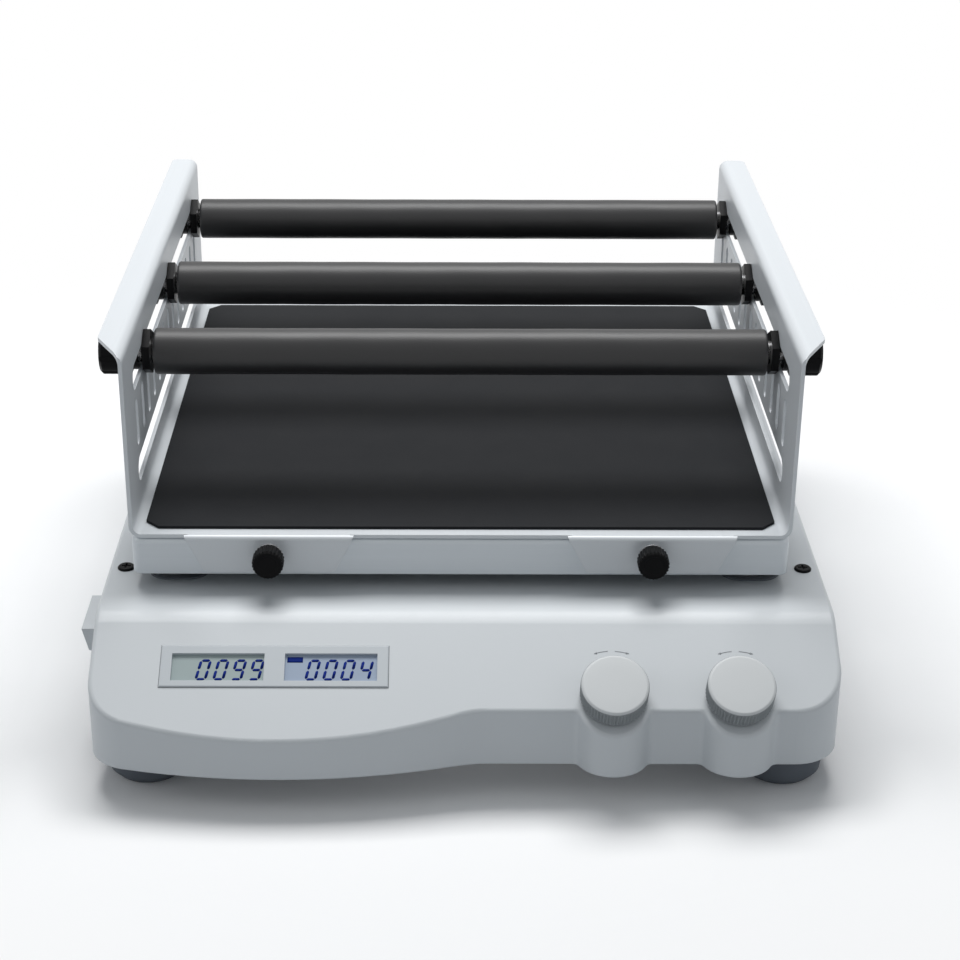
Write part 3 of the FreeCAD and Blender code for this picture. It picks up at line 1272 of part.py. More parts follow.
def tray_slots(body):
    """The long slots for the rods, high and low, and the row of short upright slots between them."""
    drawing = sketch(body, "YZ_Plane")
    for height in ("rod_height", "lower_slot_height"):
        slot(drawing, "0", height, "long_slot_length / 2", "long_slot_height / 2")
    pocket(body, drawing, "tray_width + 4 * tray_sheet", both_ways=True)
    drawing = sketch(body, "YZ_Plane")
    first = "(-short_slot_pitch * (short_slot_count - 1) / 2)"
    slot(drawing, first, "(short_slot_bottom + short_slot_top) / 2",
         "(short_slot_top - short_slot_bottom) / 2", "short_slot_width / 2", upright=True)
    cut = pocket(body, drawing, "tray_width + 4 * tray_sheet", both_ways=True)
    pattern = row(body, [cut], spacing_y="short_slot_pitch * (short_slot_count - 1)")
    bind(pattern, "Occurrences", "short_slot_count")


def anti_slip_mat():
    """The rubber mat on the tray's floor, with its corners cut off."""
    body = ride("anti_slip_mat", "0", "table_centre", TRAY_FLOOR)
    half, near = "mat_side / 2", "(mat_side / 2 - mat_chamfer)"
    drawing = sketch(body)
    outline(drawing, [(f"-{half}", f"-{near}"), (f"-{near}", f"-{half}"), (near, f"-{half}"),
                      (half, f"-{near}"), (half, near), (near, half), (f"-{near}", half), (f"-{half}", near)])
    pad(body, drawing, "mat_thick")


def thumb_screw(name, sign):
    """A thumb screw through a tray tab: shank and fluted head, pointing out of the front."""
    front = f"table_centre - {TAB_FRONT}"
    body = ride(f"{name}_thumb_screw", f"{sign}tab_spacing / 2", front, "thumb_height", VECTOR(1, 0, 0), "90")
    seat = "(thumb_washer_thick + 2 * moving_clearance)"
    neck = f"({seat} + thumb_neck_length)"
    crown = f"({neck} + thumb_head_length)"
    lathe(body, [("0", "-thumb_reach"), ("thumb_radius", "-thumb_reach"), ("thumb_radius", seat),
                 ("thumb_neck_radius", seat), ("thumb_neck_radius", neck), ("thumb_head_radius", neck),
                 ("thumb_head_radius", f"{crown} - 1"), ("thumb_head_radius - 1", crown), ("0", crown)])
    drawing = sketch(body, offset=crown)
    circle(drawing, "thumb_head_radius + thumb_flute_radius * 0.35", "0", "thumb_flute_radius")
    flute = pocket(body, drawing, "thumb_head_length")
    ring(body, [flute], "thumb_flute_count")


def thumb_washer(name, sign):
    """The captive washer behind a thumb screw's head."""
    front = f"table_centre - {TAB_FRONT}"
    body = ride(f"{name}_thumb_washer", f"{sign}tab_spacing / 2", front, "thumb_height", VECTOR(1, 0, 0),
                "90")
    disc(body, "thumb_washer_radius", "moving_clearance", "moving_clearance + thumb_washer_thick")
    bore(body, "thumb_radius + shaft_clearance", "moving_clearance", "moving_clearance + thumb_washer_thick")


def rod_start(label, place, side=""):
    """A body on a rod's axis, its Z axis pointing out of the left or the right wall."""
    axis = VECTOR(0, -1, 0) if side == "left" else VECTOR(0, 1, 0)
    return ride(label, "0", f"table_centre + {place}", "rod_height", axis, "90")


def holding_rod(name, place):
    """One holding rod: steel stud, foam sleeve, lock nuts inside the walls and clamp knobs outside."""
    body = rod_start(f"{name}_stud", place)
    disc(body, "stud_radius", "-stud_half", "stud_half")
    body = rod_start(f"{name}_sleeve", place)
    lathe(body, [("stud_radius", "-sleeve_half"), ("sleeve_radius - 1", "-sleeve_half"),
                 ("sleeve_radius", "-sleeve_half + 1"), ("sleeve_radius", "sleeve_half - 1"),
                 ("sleeve_radius - 1", "sleeve_half"), ("stud_radius", "sleeve_half")])
    body = rod_start(f"{name}_nuts", place)
    inner = "(tray_width / 2 - tray_sheet - moving_clearance)"
    for low in (f"{inner} - collar_thick", f"-{inner}"):
        drawing = sketch(body, offset=low)
        hexagon(drawing, "collar_across / 2")
        circle(drawing, "0", "0", "stud_radius")
        pad(body, drawing, "collar_thick")
    for side in ("left", "right"):
        clamp_knob(f"{name}_{side}_clamp", place, side)


def hexagon(drawing, half_across):
    """A hexagon about the origin with the given half width across flats."""
    reach = f"({half_across}) / cos(30 deg)"
    corners = [(f"{reach} * cos({60 * turn} deg)", f"{reach} * sin({60 * turn} deg)") for turn in range(6)]
    outline(drawing, corners)


def clamp_knob(label, place, side):
    """A fluted knob on the end of a rod that clamps it to the wall from outside."""
    body = rod_start(label, place, side)
    seat = "(tray_width / 2 + moving_clearance)"
    neck = "(clamp_end - clamp_length)"
    hollow = "(stud_half + moving_clearance)"
    wall = "(stud_radius + shaft_clearance)"
    lathe(body, [(wall, seat), ("clamp_neck_radius", seat), ("clamp_neck_radius", neck),
                 ("clamp_radius", f"{neck} + 1"), ("clamp_radius", "clamp_end - clamp_edge"),
                 ("clamp_radius - clamp_edge", "clamp_end"),
                 ("0", "clamp_end"), ("0", hollow), (wall, hollow)])
    drawing = sketch(body, offset="clamp_end")
    circle(drawing, "clamp_radius + clamp_flute_radius * 0.6", "0", "clamp_flute_radius")
    flute = pocket(body, drawing, "clamp_length")
    ring(body, [flute], "clamp_flute_count")


def build():
    """Build every piece in order, from the bench up."""
    base_housing()
    base_plate()
    feet()
    foot_screws()
    housing_screws()
    deck_caps()
    display_bezel()
    screen("speed_screen", "-")
    screen("time_screen", "+")
    control_board()
    for name in ("speed", "time"):
        encoder(name, f"{name}_knob_x")
        rotor(name, f"{name}_knob_x")
        knob(name, f"{name}_knob_x")
    power_switch()
    power_rocker()
    power_inlet()
    power_supply()
    drive_bracket()
    crank_bearings()
    motor()
    motor_pulley()
    drive_belt()
    crank_shaft()
    driven_pulley()
    counterweight()
    connecting_rod()
    rod_bearings()
    guide_rails()
    rail_blocks()
    carriage_frame()
    drive_pin()
    support_posts()
    post_seals()
    platform()
    platform_screws()
    clamping_tray()
    anti_slip_mat()
    for name, sign in (("left", "-"), ("right", "")):
        thumb_screw(name, sign)
        thumb_washer(name, sign)
    for name in ("front", "middle", "rear"):
        holding_rod(f"{name}_rod", f"{name}_rod")


def check():
    """Stop if any object failed, any cut removed nothing, or any piece is not a valid solid."""
    DOC.recompute()
    faults = []
    for body in BODIES:
        for feature in [body] + body.Group:
            empty = feature.isDerivedFrom("Part::Feature") and feature.Shape.isNull()
            if "Invalid" in feature.State or "Error" in feature.State or empty:
                faults.append(f"{body.Label}: {feature.Name} failed: {feature.State}")
            elif feature.TypeId in ("PartDesign::Pocket", "PartDesign::Groove"):
                if feature.Shape.Volume > feature.BaseFeature.Shape.Volume - 0.01:
                    faults.append(f"{body.Label}: {feature.Name} removes nothing")
        if body.Shape.isNull() or not body.Shape.isValid() or not body.Shape.Solids:
            faults.append(f"{body.Label} is not a valid solid")
    if faults:
        raise RuntimeError("; ".join(faults))


def export():
    """Write each piece to its own STEP file."""
    os.makedirs("parts", exist_ok=True)
    for body in BODIES:
        body.Shape.exportStep(f"parts/{body.Label}.step")


fill_sheet()
build()
check()
export()
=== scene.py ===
"""Looks for the reciprocating shaker: finishes, figures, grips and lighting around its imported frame.

Every size is in metres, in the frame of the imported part: +X to the right, +Y to the back, +Z up.
"""
import logging
import math
from dataclasses import dataclass, field
from enum import Enum

import bpy
import numpy as np
from mathutils import Matrix, Vector


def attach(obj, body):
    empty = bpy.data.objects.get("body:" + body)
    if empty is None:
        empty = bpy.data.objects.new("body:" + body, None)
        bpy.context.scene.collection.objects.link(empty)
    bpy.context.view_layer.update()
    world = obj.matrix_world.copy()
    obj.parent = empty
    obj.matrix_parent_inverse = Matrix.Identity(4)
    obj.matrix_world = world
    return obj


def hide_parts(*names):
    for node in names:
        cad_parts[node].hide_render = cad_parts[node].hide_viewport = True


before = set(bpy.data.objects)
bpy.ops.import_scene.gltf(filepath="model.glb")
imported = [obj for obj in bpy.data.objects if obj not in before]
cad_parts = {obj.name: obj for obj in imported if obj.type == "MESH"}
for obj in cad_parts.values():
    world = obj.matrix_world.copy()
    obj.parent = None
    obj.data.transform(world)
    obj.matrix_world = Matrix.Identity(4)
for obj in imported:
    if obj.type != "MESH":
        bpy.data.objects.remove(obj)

LOG = logging.getLogger("shaker")
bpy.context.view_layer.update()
Colour = tuple[float, float, float]
Array = np.ndarray

PANEL_SLOPE = math.radians(30.5)
PANEL_POINT = np.array([0.0, -0.1895, 0.076 - 0.041 * math.tan(PANEL_SLOPE)])
PANEL_AXES = np.array([
    [1.0, 0.0, 0.0],
    [0.0, math.cos(PANEL_SLOPE), math.sin(PANEL_SLOPE)],
    [0.0, -math.sin(PANEL_SLOPE), math.cos(PANEL_SLOPE)],
])

ROD_HEIGHT = 0.176


class Texture(Enum):
    """How the fine relief of a finish runs."""

    PEBBLE = "pebble"
    BRUSHED_X = "brushed_x"
    BRUSHED_Y = "brushed_y"
    CELLS = "cells"


def panel_to_world(points: Array) -> Array:
    """Carry points from the sloped panel's axes to the part's frame.

    A point is the panel's corner point plus its across, upslope and outward amounts along the axes.

    Args:
        points: An array whose last axis holds across, upslope and outward distances.

    Returns:
        The same points in the part's frame.
    """
    return points @ PANEL_AXES + PANEL_POINT


def grid_piece(name: str, points: Array, wrap_rows: bool = False, wrap_columns: bool = False,
               caps: bool = False, sharp: float = 35.0) -> bpy.types.Object:
    """Make a mesh object from a grid of points.

    Cell (i, j) joins points (i, j), (i + 1, j), (i + 1, j + 1) and (i, j + 1), so faces look along the
    cross product of the row step and the column step.

    Args:
        name: Name of the new piece.
        points: Array of rows by columns by three.
        wrap_rows: Whether the last row joins the first.
        wrap_columns: Whether the last column joins the first.
        caps: Whether the first and last rows are closed by one face each.
        sharp: Angle in degrees past which an edge stays crisp.

    Returns:
        The new object, linked to the scene.
    """
    rows, columns = points.shape[:2]
    row = np.arange(rows if wrap_rows else rows - 1)
    column = np.arange(columns if wrap_columns else columns - 1)
    i, j = (part.ravel() for part in np.meshgrid(row, column, indexing="ij"))
    after_i, after_j = (i + 1) % rows, (j + 1) % columns
    quads = np.stack([i * columns + j, after_i * columns + j, after_i * columns + after_j,
                      i * columns + after_j], axis=1)
    faces = quads.tolist()
    if caps:
        faces.append(np.arange(columns).tolist())
        faces.append(((rows - 1) * columns + np.arange(columns)[::-1]).tolist())
    return flat_piece(name, points.reshape(-1, 3), faces, sharp)


def flat_piece(name: str, points: Array, faces: list[list[int]],
               sharp: float = 35.0) -> bpy.types.Object:
    """Make a mesh object from points and faces.

    Args:
        name: Name of the new piece.
        points: Array of points by three.
        faces: Point numbers of each face.
        sharp: Angle in degrees past which an edge stays crisp.

    Returns:
        The new object, linked to the scene.
    """
    mesh = bpy.data.meshes.new(name)
    mesh.from_pydata(points.tolist(), [], faces)
    mesh.update()
    mesh.shade_smooth()
    mesh.set_sharp_from_angle(angle=math.radians(sharp))
    piece = bpy.data.objects.new(name, mesh)
    bpy.context.scene.collection.objects.link(piece)
    return piece


def revolve(profile: Array, segments: int) -> Array:
    """Turn a profile about the third axis.

    The point at angle a is (r cos a, r sin a, h) for each radius r and height h of the profile.

    Args:
        profile: Radius and height pairs from one pole to the other.
        segments: Number of points round the axis.

    Returns:
        A grid with one row per profile point.
    """
    angle = np.linspace(0.0, 2.0 * np.pi, segments, endpoint=False)
    radius, height = profile[:, :1], profile[:, 1:]
    return np.stack([radius * np.cos(angle), radius * np.sin(angle), height + 0.0 * angle], axis=-1)


def ribbed(rows: Array, ribs: int, steps: int, depth: Array) -> Array:
    """Turn a profile about the third axis and press upright ribs into it.

    The radius at angle a is the profile's, less the depth there times the squared cosine of half the
    rib count times a.

    Args:
        rows: Radius and height pairs.
        ribs: Number of ribs round the axis.
        steps: Points of each rib.
        depth: Depth of the ribs at each profile point.

    Returns:
        A grid with one row per profile point, the last one first, so that its faces look outward.
    """
    grid = revolve(rows, ribs * steps)
    angle = np.linspace(0.0, 2.0 * np.pi, ribs * steps, endpoint=False)
    cut = depth[:, None] * np.cos(angle * ribs / 2.0) ** 2
    grid[..., :2] *= 1.0 - cut[..., None] / rows[:, None, :1]
    return grid[::-1]


def finer(profile: Array, steps: int) -> Array:
    """Split each side of a profile into equal steps."""
    pieces = [np.linspace(a, b, steps, endpoint=False) for a, b in zip(profile[:-1], profile[1:])]
    return np.concatenate(pieces + [profile[-1:]])


def along_x(points: Array, place: tuple[float, float, float]) -> Array:
    """Lay points made about the third axis along X, through a place.

    Height becomes X, the first axis becomes Y and the second becomes Z, which keeps the faces' sense.

    Args:
        points: Points about the third axis.
        place: The point that the axis passes through.

    Returns:
        The turned and moved points.
    """
    return points[..., [2, 0, 1]] + np.array(place)


def rounded_profile(corners: list[tuple[float, float]], radius: float, steps: int = 5) -> Array:
    """Round the inner corners of a profile.

    Each corner is replaced by a quadratic curve from a point before it to one as far after it.

    Args:
        corners: Radius and height pairs.
        radius: How far from the corner the curve starts, at most 0.45 of each side.
        steps: Points of each curve.

    Returns:
        The softened profile.
    """
    places = np.array(corners)
    t = np.linspace(0.0, 1.0, steps)[:, None]
    parts = [places[:1]]
    for before, here, after in zip(places[:-2], places[1:-1], places[2:]):
        into, out = before - here, after - here
        start = here + into * min(0.45, radius / np.linalg.norm(into))
        finish = here + out * min(0.45, radius / np.linalg.norm(out))
        parts.append((1 - t) ** 2 * start + 2 * t * (1 - t) * here + t ** 2 * finish)
    parts.append(places[-1:])
    return np.concatenate(parts)


class NodeSheet:
    """Short ways to add and link the nodes of one tree."""

    def __init__(self, tree: bpy.types.NodeTree) -> None:
        """Hold the tree that the nodes go to."""
        self.tree = tree

    def add(self, kind: str, **settings: object) -> bpy.types.Node:
        """Add a node.

        Args:
            kind: Blender's name of the node type.
            settings: Properties of the node to set.

        Returns:
            The new node.
        """
        node = self.tree.nodes.new(kind)
        for name, value in settings.items():
            setattr(node, name, value)
        return node

    def feed(self, socket: bpy.types.NodeSocket, source: object) -> None:
        """Link a socket to another, or set its value.

        Args:
            socket: The input to feed.
            source: The output that feeds it, or a plain value.
        """
        if isinstance(source, bpy.types.NodeSocket):
            self.tree.links.new(source, socket)
        else:
            socket.default_value = source

    def maths(self, operation: str, first: object, second: object = 0.0,
              clamp: bool = False) -> bpy.types.NodeSocket:
        """Combine two numbers.

        Args:
            operation: Name of the operation.
            first: A socket or number.
            second: A socket or number.
            clamp: Whether the result is kept between 0 and 1.

        Returns:
            The result's socket.
        """
        node = self.add("ShaderNodeMath", operation=operation, use_clamp=clamp)
        self.feed(node.inputs[0], first)
        self.feed(node.inputs[1], second)
        return node.outputs[0]

    def blend(self, factor: object, first: object, second: object) -> bpy.types.NodeSocket:
        """Mix two colours by a factor.

        Args:
            factor: Share of the second colour.
            first: A socket or colour.
            second: A socket or colour.

        Returns:
            The mixed colour's socket.
        """
        node = self.add("ShaderNodeMix", data_type="RGBA")
        self.feed(node.inputs[0], factor)
        self.feed(node.inputs[6], first)
        self.feed(node.inputs[7], second)
        return node.outputs[2]

    def noise(self, vector: object, scale: object, detail: float = 3.0) -> bpy.types.NodeSocket:
        """Add soft noise.

        Args:
            vector: Socket of the place.
            scale: Socket or number of waves per metre.
            detail: Octaves of the noise.

        Returns:
            Socket of the noise's value.
        """
        node = self.add("ShaderNodeTexNoise")
        self.feed(node.inputs["Vector"], vector)
        self.feed(node.inputs["Scale"], scale)
        node.inputs["Detail"].default_value = detail
        return node.outputs[0]

    def place(self) -> bpy.types.NodeSocket:
        """The socket of the place on the object."""
        return self.add("ShaderNodeTexCoord").outputs["Object"]

    def seen(self) -> bpy.types.NodeSocket:
        """Tell the rays that make the picture from those that carry light.

        Returns:
            One where a ray comes from the camera, a reflection or a clear body, and zero for light.
        """
        rays = self.add("ShaderNodeLightPath").outputs
        bent = self.maths("MAXIMUM", rays["Is Glossy Ray"], rays["Is Transmission Ray"])
        return self.maths("MAXIMUM", rays["Is Camera Ray"], bent)


class GroupBook:
    """The shared node groups, each built once."""

    SURFACE = ["Height", "Roughness", "Tone"]

    def __init__(self) -> None:
        """Build every group."""
        self.wear_and_highlight = self._wear_and_highlight()
        self.grain = self._grain()
        self.brush = self._brush()
        self.cells = self._cells()
        self.dust = self._dust()

    @staticmethod
    def _open(name: str, inputs: dict[str, float], outputs: list[str]) -> tuple[NodeSheet, dict, dict]:
        """Open a group with number sockets.

        Args:
            name: The group's name.
            inputs: Input names and their default values.
            outputs: Output names.

        Returns:
            The sheet of nodes, the input sockets by name and the output sockets by name.
        """
        tree = bpy.data.node_groups.new(name, "ShaderNodeTree")
        for title, value in inputs.items():
            socket = tree.interface.new_socket(title, in_out="INPUT", socket_type="NodeSocketFloat")
            socket.default_value = value
        for title in outputs:
            tree.interface.new_socket(title, in_out="OUTPUT", socket_type="NodeSocketFloat")
        sheet = NodeSheet(tree)
        source, sink = sheet.add("NodeGroupInput"), sheet.add("NodeGroupOutput")
        return sheet, dict(source.outputs.items()), dict(sink.inputs.items())

    @staticmethod
    def _close(sheet: NodeSheet, given: dict, result: dict, height: bpy.types.NodeSocket,
               tone: bpy.types.NodeSocket) -> None:
        """Let a tone move the roughness by its spread, and feed a surface group's outputs.

        Args:
            sheet: The group's nodes.
            given: Its input sockets.
            result: Its output sockets.
            height: Socket of the relief.
            tone: Socket of the tone.
        """
        drift = sheet.maths("MULTIPLY", sheet.maths("SUBTRACT", tone, 0.5), given["Spread"])
        sheet.feed(result["Height"], height)
        sheet.feed(result["Roughness"], sheet.maths("ADD", given["Roughness"], drift, clamp=True))
        sheet.feed(result["Tone"], tone)

    def _wear_and_highlight(self) -> bpy.types.NodeTree:
        """Make a mask that rises where edges are crisp, broken up by noise: partly edge wear, partly a
        painted highlight on the rims.

        Returns:
            The group's tree, which puts out the mask.
        """
        sheet, given, result = self._open("edge_wear_and_highlight", {"Radius": 0.0006, "Amount": 1.0}, ["Mask"])
        bevel = sheet.add("ShaderNodeBevel", samples=4)
        sheet.feed(bevel.inputs["Radius"], given["Radius"])
        geometry = sheet.add("ShaderNodeNewGeometry")
        dot = sheet.add("ShaderNodeVectorMath", operation="DOT_PRODUCT")
        sheet.feed(dot.inputs[0], bevel.outputs[0])
        sheet.feed(dot.inputs[1], geometry.outputs["Normal"])
        turn = sheet.maths("SUBTRACT", 1.0, dot.outputs["Value"])
        edge = sheet.maths("MULTIPLY", turn, 6.0, clamp=True)
        broken = sheet.maths("ADD", sheet.noise(sheet.place(), 260.0), 0.25, clamp=True)
        worn_and_lit = sheet.maths("MULTIPLY", edge, broken)
        sheet.feed(result["Mask"], sheet.maths("MULTIPLY", worn_and_lit, given["Amount"], clamp=True))
        return sheet.tree

    def _grain(self) -> bpy.types.NodeTree:
        """Make fine relief, broad tone and roughness that wander together.

        Returns:
            The group's tree, with the outputs that every surface group has.
        """
        sheet, given, result = self._open(
            "moulded_grain", {"Scale": 1500.0, "Roughness": 0.4, "Spread": 0.06}, self.SURFACE)
        place = sheet.place()
        fine = sheet.noise(place, given["Scale"], 2.0)
        broad = sheet.noise(place, 14.0, 4.0)
        self._close(sheet, given, result, fine, broad)
        return sheet.tree

    def _brush(self) -> bpy.types.NodeTree:
        """Make long fine lines along one axis: noise on a place squeezed along it.

        Returns:
            The group's tree, with the outputs that every surface group has.
        """
        sheet, given, result = self._open(
            "brushed_lines", {"Along X": 12.0, "Along Y": 2200.0, "Roughness": 0.35, "Spread": 0.12},
            self.SURFACE)
        stretch = sheet.add("ShaderNodeCombineXYZ")
        sheet.feed(stretch.inputs[0], given["Along X"])
        sheet.feed(stretch.inputs[1], given["Along Y"])
        sheet.feed(stretch.inputs[2], 900.0)
        scaled = sheet.add("ShaderNodeVectorMath", operation="MULTIPLY")
        sheet.feed(scaled.inputs[0], sheet.place())
        sheet.feed(scaled.inputs[1], stretch.outputs[0])
        lines = sheet.noise(scaled.outputs[0], 1.0, 4.0)
        self._close(sheet, given, result, lines, lines)
        return sheet.tree

    def _cells(self) -> bpy.types.NodeTree:
        """Make small rounded cells, as on foam or pebbled rubber.

        Returns:
            The group's tree, with the outputs that every surface group has.
        """
        sheet, given, result = self._open(
            "foam_cells", {"Scale": 1400.0, "Roughness": 0.7, "Spread": 0.08}, self.SURFACE)
        place = sheet.place()
        cell = sheet.add("ShaderNodeTexVoronoi", feature="SMOOTH_F1")
        sheet.feed(cell.inputs["Vector"], place)
        sheet.feed(cell.inputs["Scale"], given["Scale"])
        broad = sheet.noise(place, 30.0, 4.0)
        self._close(sheet, given, result, cell.outputs["Distance"], broad)
        return sheet.tree

    def _dust(self) -> bpy.types.NodeTree:
        """Make a thin film on faces that look up, in soft patches.

        Returns:
            The group's tree, which puts out the mask.
        """
        sheet, given, result = self._open("settled_dust", {"Amount": 0.1}, ["Mask"])
        split = sheet.add("ShaderNodeSeparateXYZ")
        sheet.feed(split.inputs[0], sheet.add("ShaderNodeNewGeometry").outputs["Normal"])
        upward = sheet.maths("POWER", sheet.maths("MAXIMUM", split.outputs[2], 0.0), 4.0)
        patch = sheet.noise(sheet.place(), 45.0, 6.0)
        film = sheet.maths("MULTIPLY", upward, patch)
        sheet.feed(result["Mask"], sheet.maths("MULTIPLY", film, given["Amount"], clamp=True))
        return sheet.tree


@dataclass(frozen=True)
class Finish:
    """One finish: its colour, gloss, fine relief, edge wear with a painted rim highlight, and film of
    dust.
    """

    name: str
    colour: Colour
    roughness: float
    metallic: float = 0.0
    texture: Texture = Texture.PEBBLE
    scale: float = 1500.0
    relief: float = 0.00001
    variation: float = 0.04
    edge_radius: float = 0.0003
    # Lighter colour at crisp edges: partly wear, partly a painted highlight on the rims.
    edge_wear_and_highlight_colour: Colour | None = None
    edge_amount: float = 0.5
    dust: float = 0.0
    coat: float = 0.0
    specular: float = 0.5

    def build(self, groups: GroupBook) -> bpy.types.Material:
        """Make the material.

        Args:
            groups: The shared node groups.

        Returns:
            The new material.
        """
        material = bpy.data.materials.new(self.name)
        material.use_nodes = True
        sheet = NodeSheet(material.node_tree)
        shader = material.node_tree.nodes["Principled BSDF"]
        surface = self._surface(sheet, groups)
        darker = tuple(part * (1.0 - self.variation) for part in self.colour) + (1.0,)
        lighter = tuple(min(1.0, part * (1.0 + self.variation)) for part in self.colour) + (1.0,)
        colour = sheet.blend(surface.outputs["Tone"], darker, lighter)
        # Crisp edges mix toward the lighter edge colour: partly wear, partly a painted highlight on the
        # rims.
        if self.edge_wear_and_highlight_colour is not None:
            wear_and_highlight = sheet.add("ShaderNodeGroup", node_tree=groups.wear_and_highlight)
            wear_and_highlight.inputs["Radius"].default_value = self.edge_radius * 1.4
            wear_and_highlight.inputs["Amount"].default_value = self.edge_amount
            colour = sheet.blend(wear_and_highlight.outputs["Mask"], colour, self.edge_wear_and_highlight_colour + (1.0,))
        if self.dust > 0.0:
            film = sheet.add("ShaderNodeGroup", node_tree=groups.dust)
            film.inputs["Amount"].default_value = self.dust
            colour = sheet.blend(film.outputs["Mask"], colour, (0.55, 0.55, 0.54, 1.0))
        sheet.feed(shader.inputs["Base Color"], colour)
        sheet.feed(shader.inputs["Roughness"], surface.outputs["Roughness"])
        sheet.feed(shader.inputs["Normal"], self._relief(sheet, surface.outputs["Height"]))
        shader.inputs["Metallic"].default_value = self.metallic
        shader.inputs["Specular IOR Level"].default_value = self.specular
        shader.inputs["Coat Weight"].default_value = self.coat
        shader.inputs["Coat Roughness"].default_value = 0.12
        return material

    def _surface(self, sheet: NodeSheet, groups: GroupBook) -> bpy.types.Node:
        """Add the group that gives this finish its relief, roughness and tone.

        Args:
            sheet: The material's node sheet.
            groups: The shared node groups.

        Returns:
            The group's node in this material.
        """
        kinds = {Texture.PEBBLE: groups.grain, Texture.CELLS: groups.cells}
        node = sheet.add("ShaderNodeGroup", node_tree=kinds.get(self.texture, groups.brush))
        node.inputs["Roughness"].default_value = self.roughness
        if self.texture in kinds:
            node.inputs["Scale"].default_value = self.scale
        else:
            lengthwise = self.texture is Texture.BRUSHED_X
            node.inputs["Along X"].default_value = 9.0 if lengthwise else self.scale
            node.inputs["Along Y"].default_value = self.scale if lengthwise else 9.0
        return node

    def _relief(self, sheet: NodeSheet, height: bpy.types.NodeSocket) -> bpy.types.NodeSocket:
        """Soften edges, then add the fine relief on top.

        Args:
            sheet: The material's node sheet.
            height: The height of the fine relief.

        Returns:
            The normal that the shader takes.
        """
        bevel = sheet.add("ShaderNodeBevel", samples=4)
        bevel.inputs["Radius"].default_value = self.edge_radius
        bump = sheet.add("ShaderNodeBump")
        bump.inputs["Distance"].default_value = self.relief
        sheet.feed(bump.inputs["Height"], height)
        sheet.feed(bump.inputs["Normal"], bevel.outputs[0])
        return bump.outputs[0]


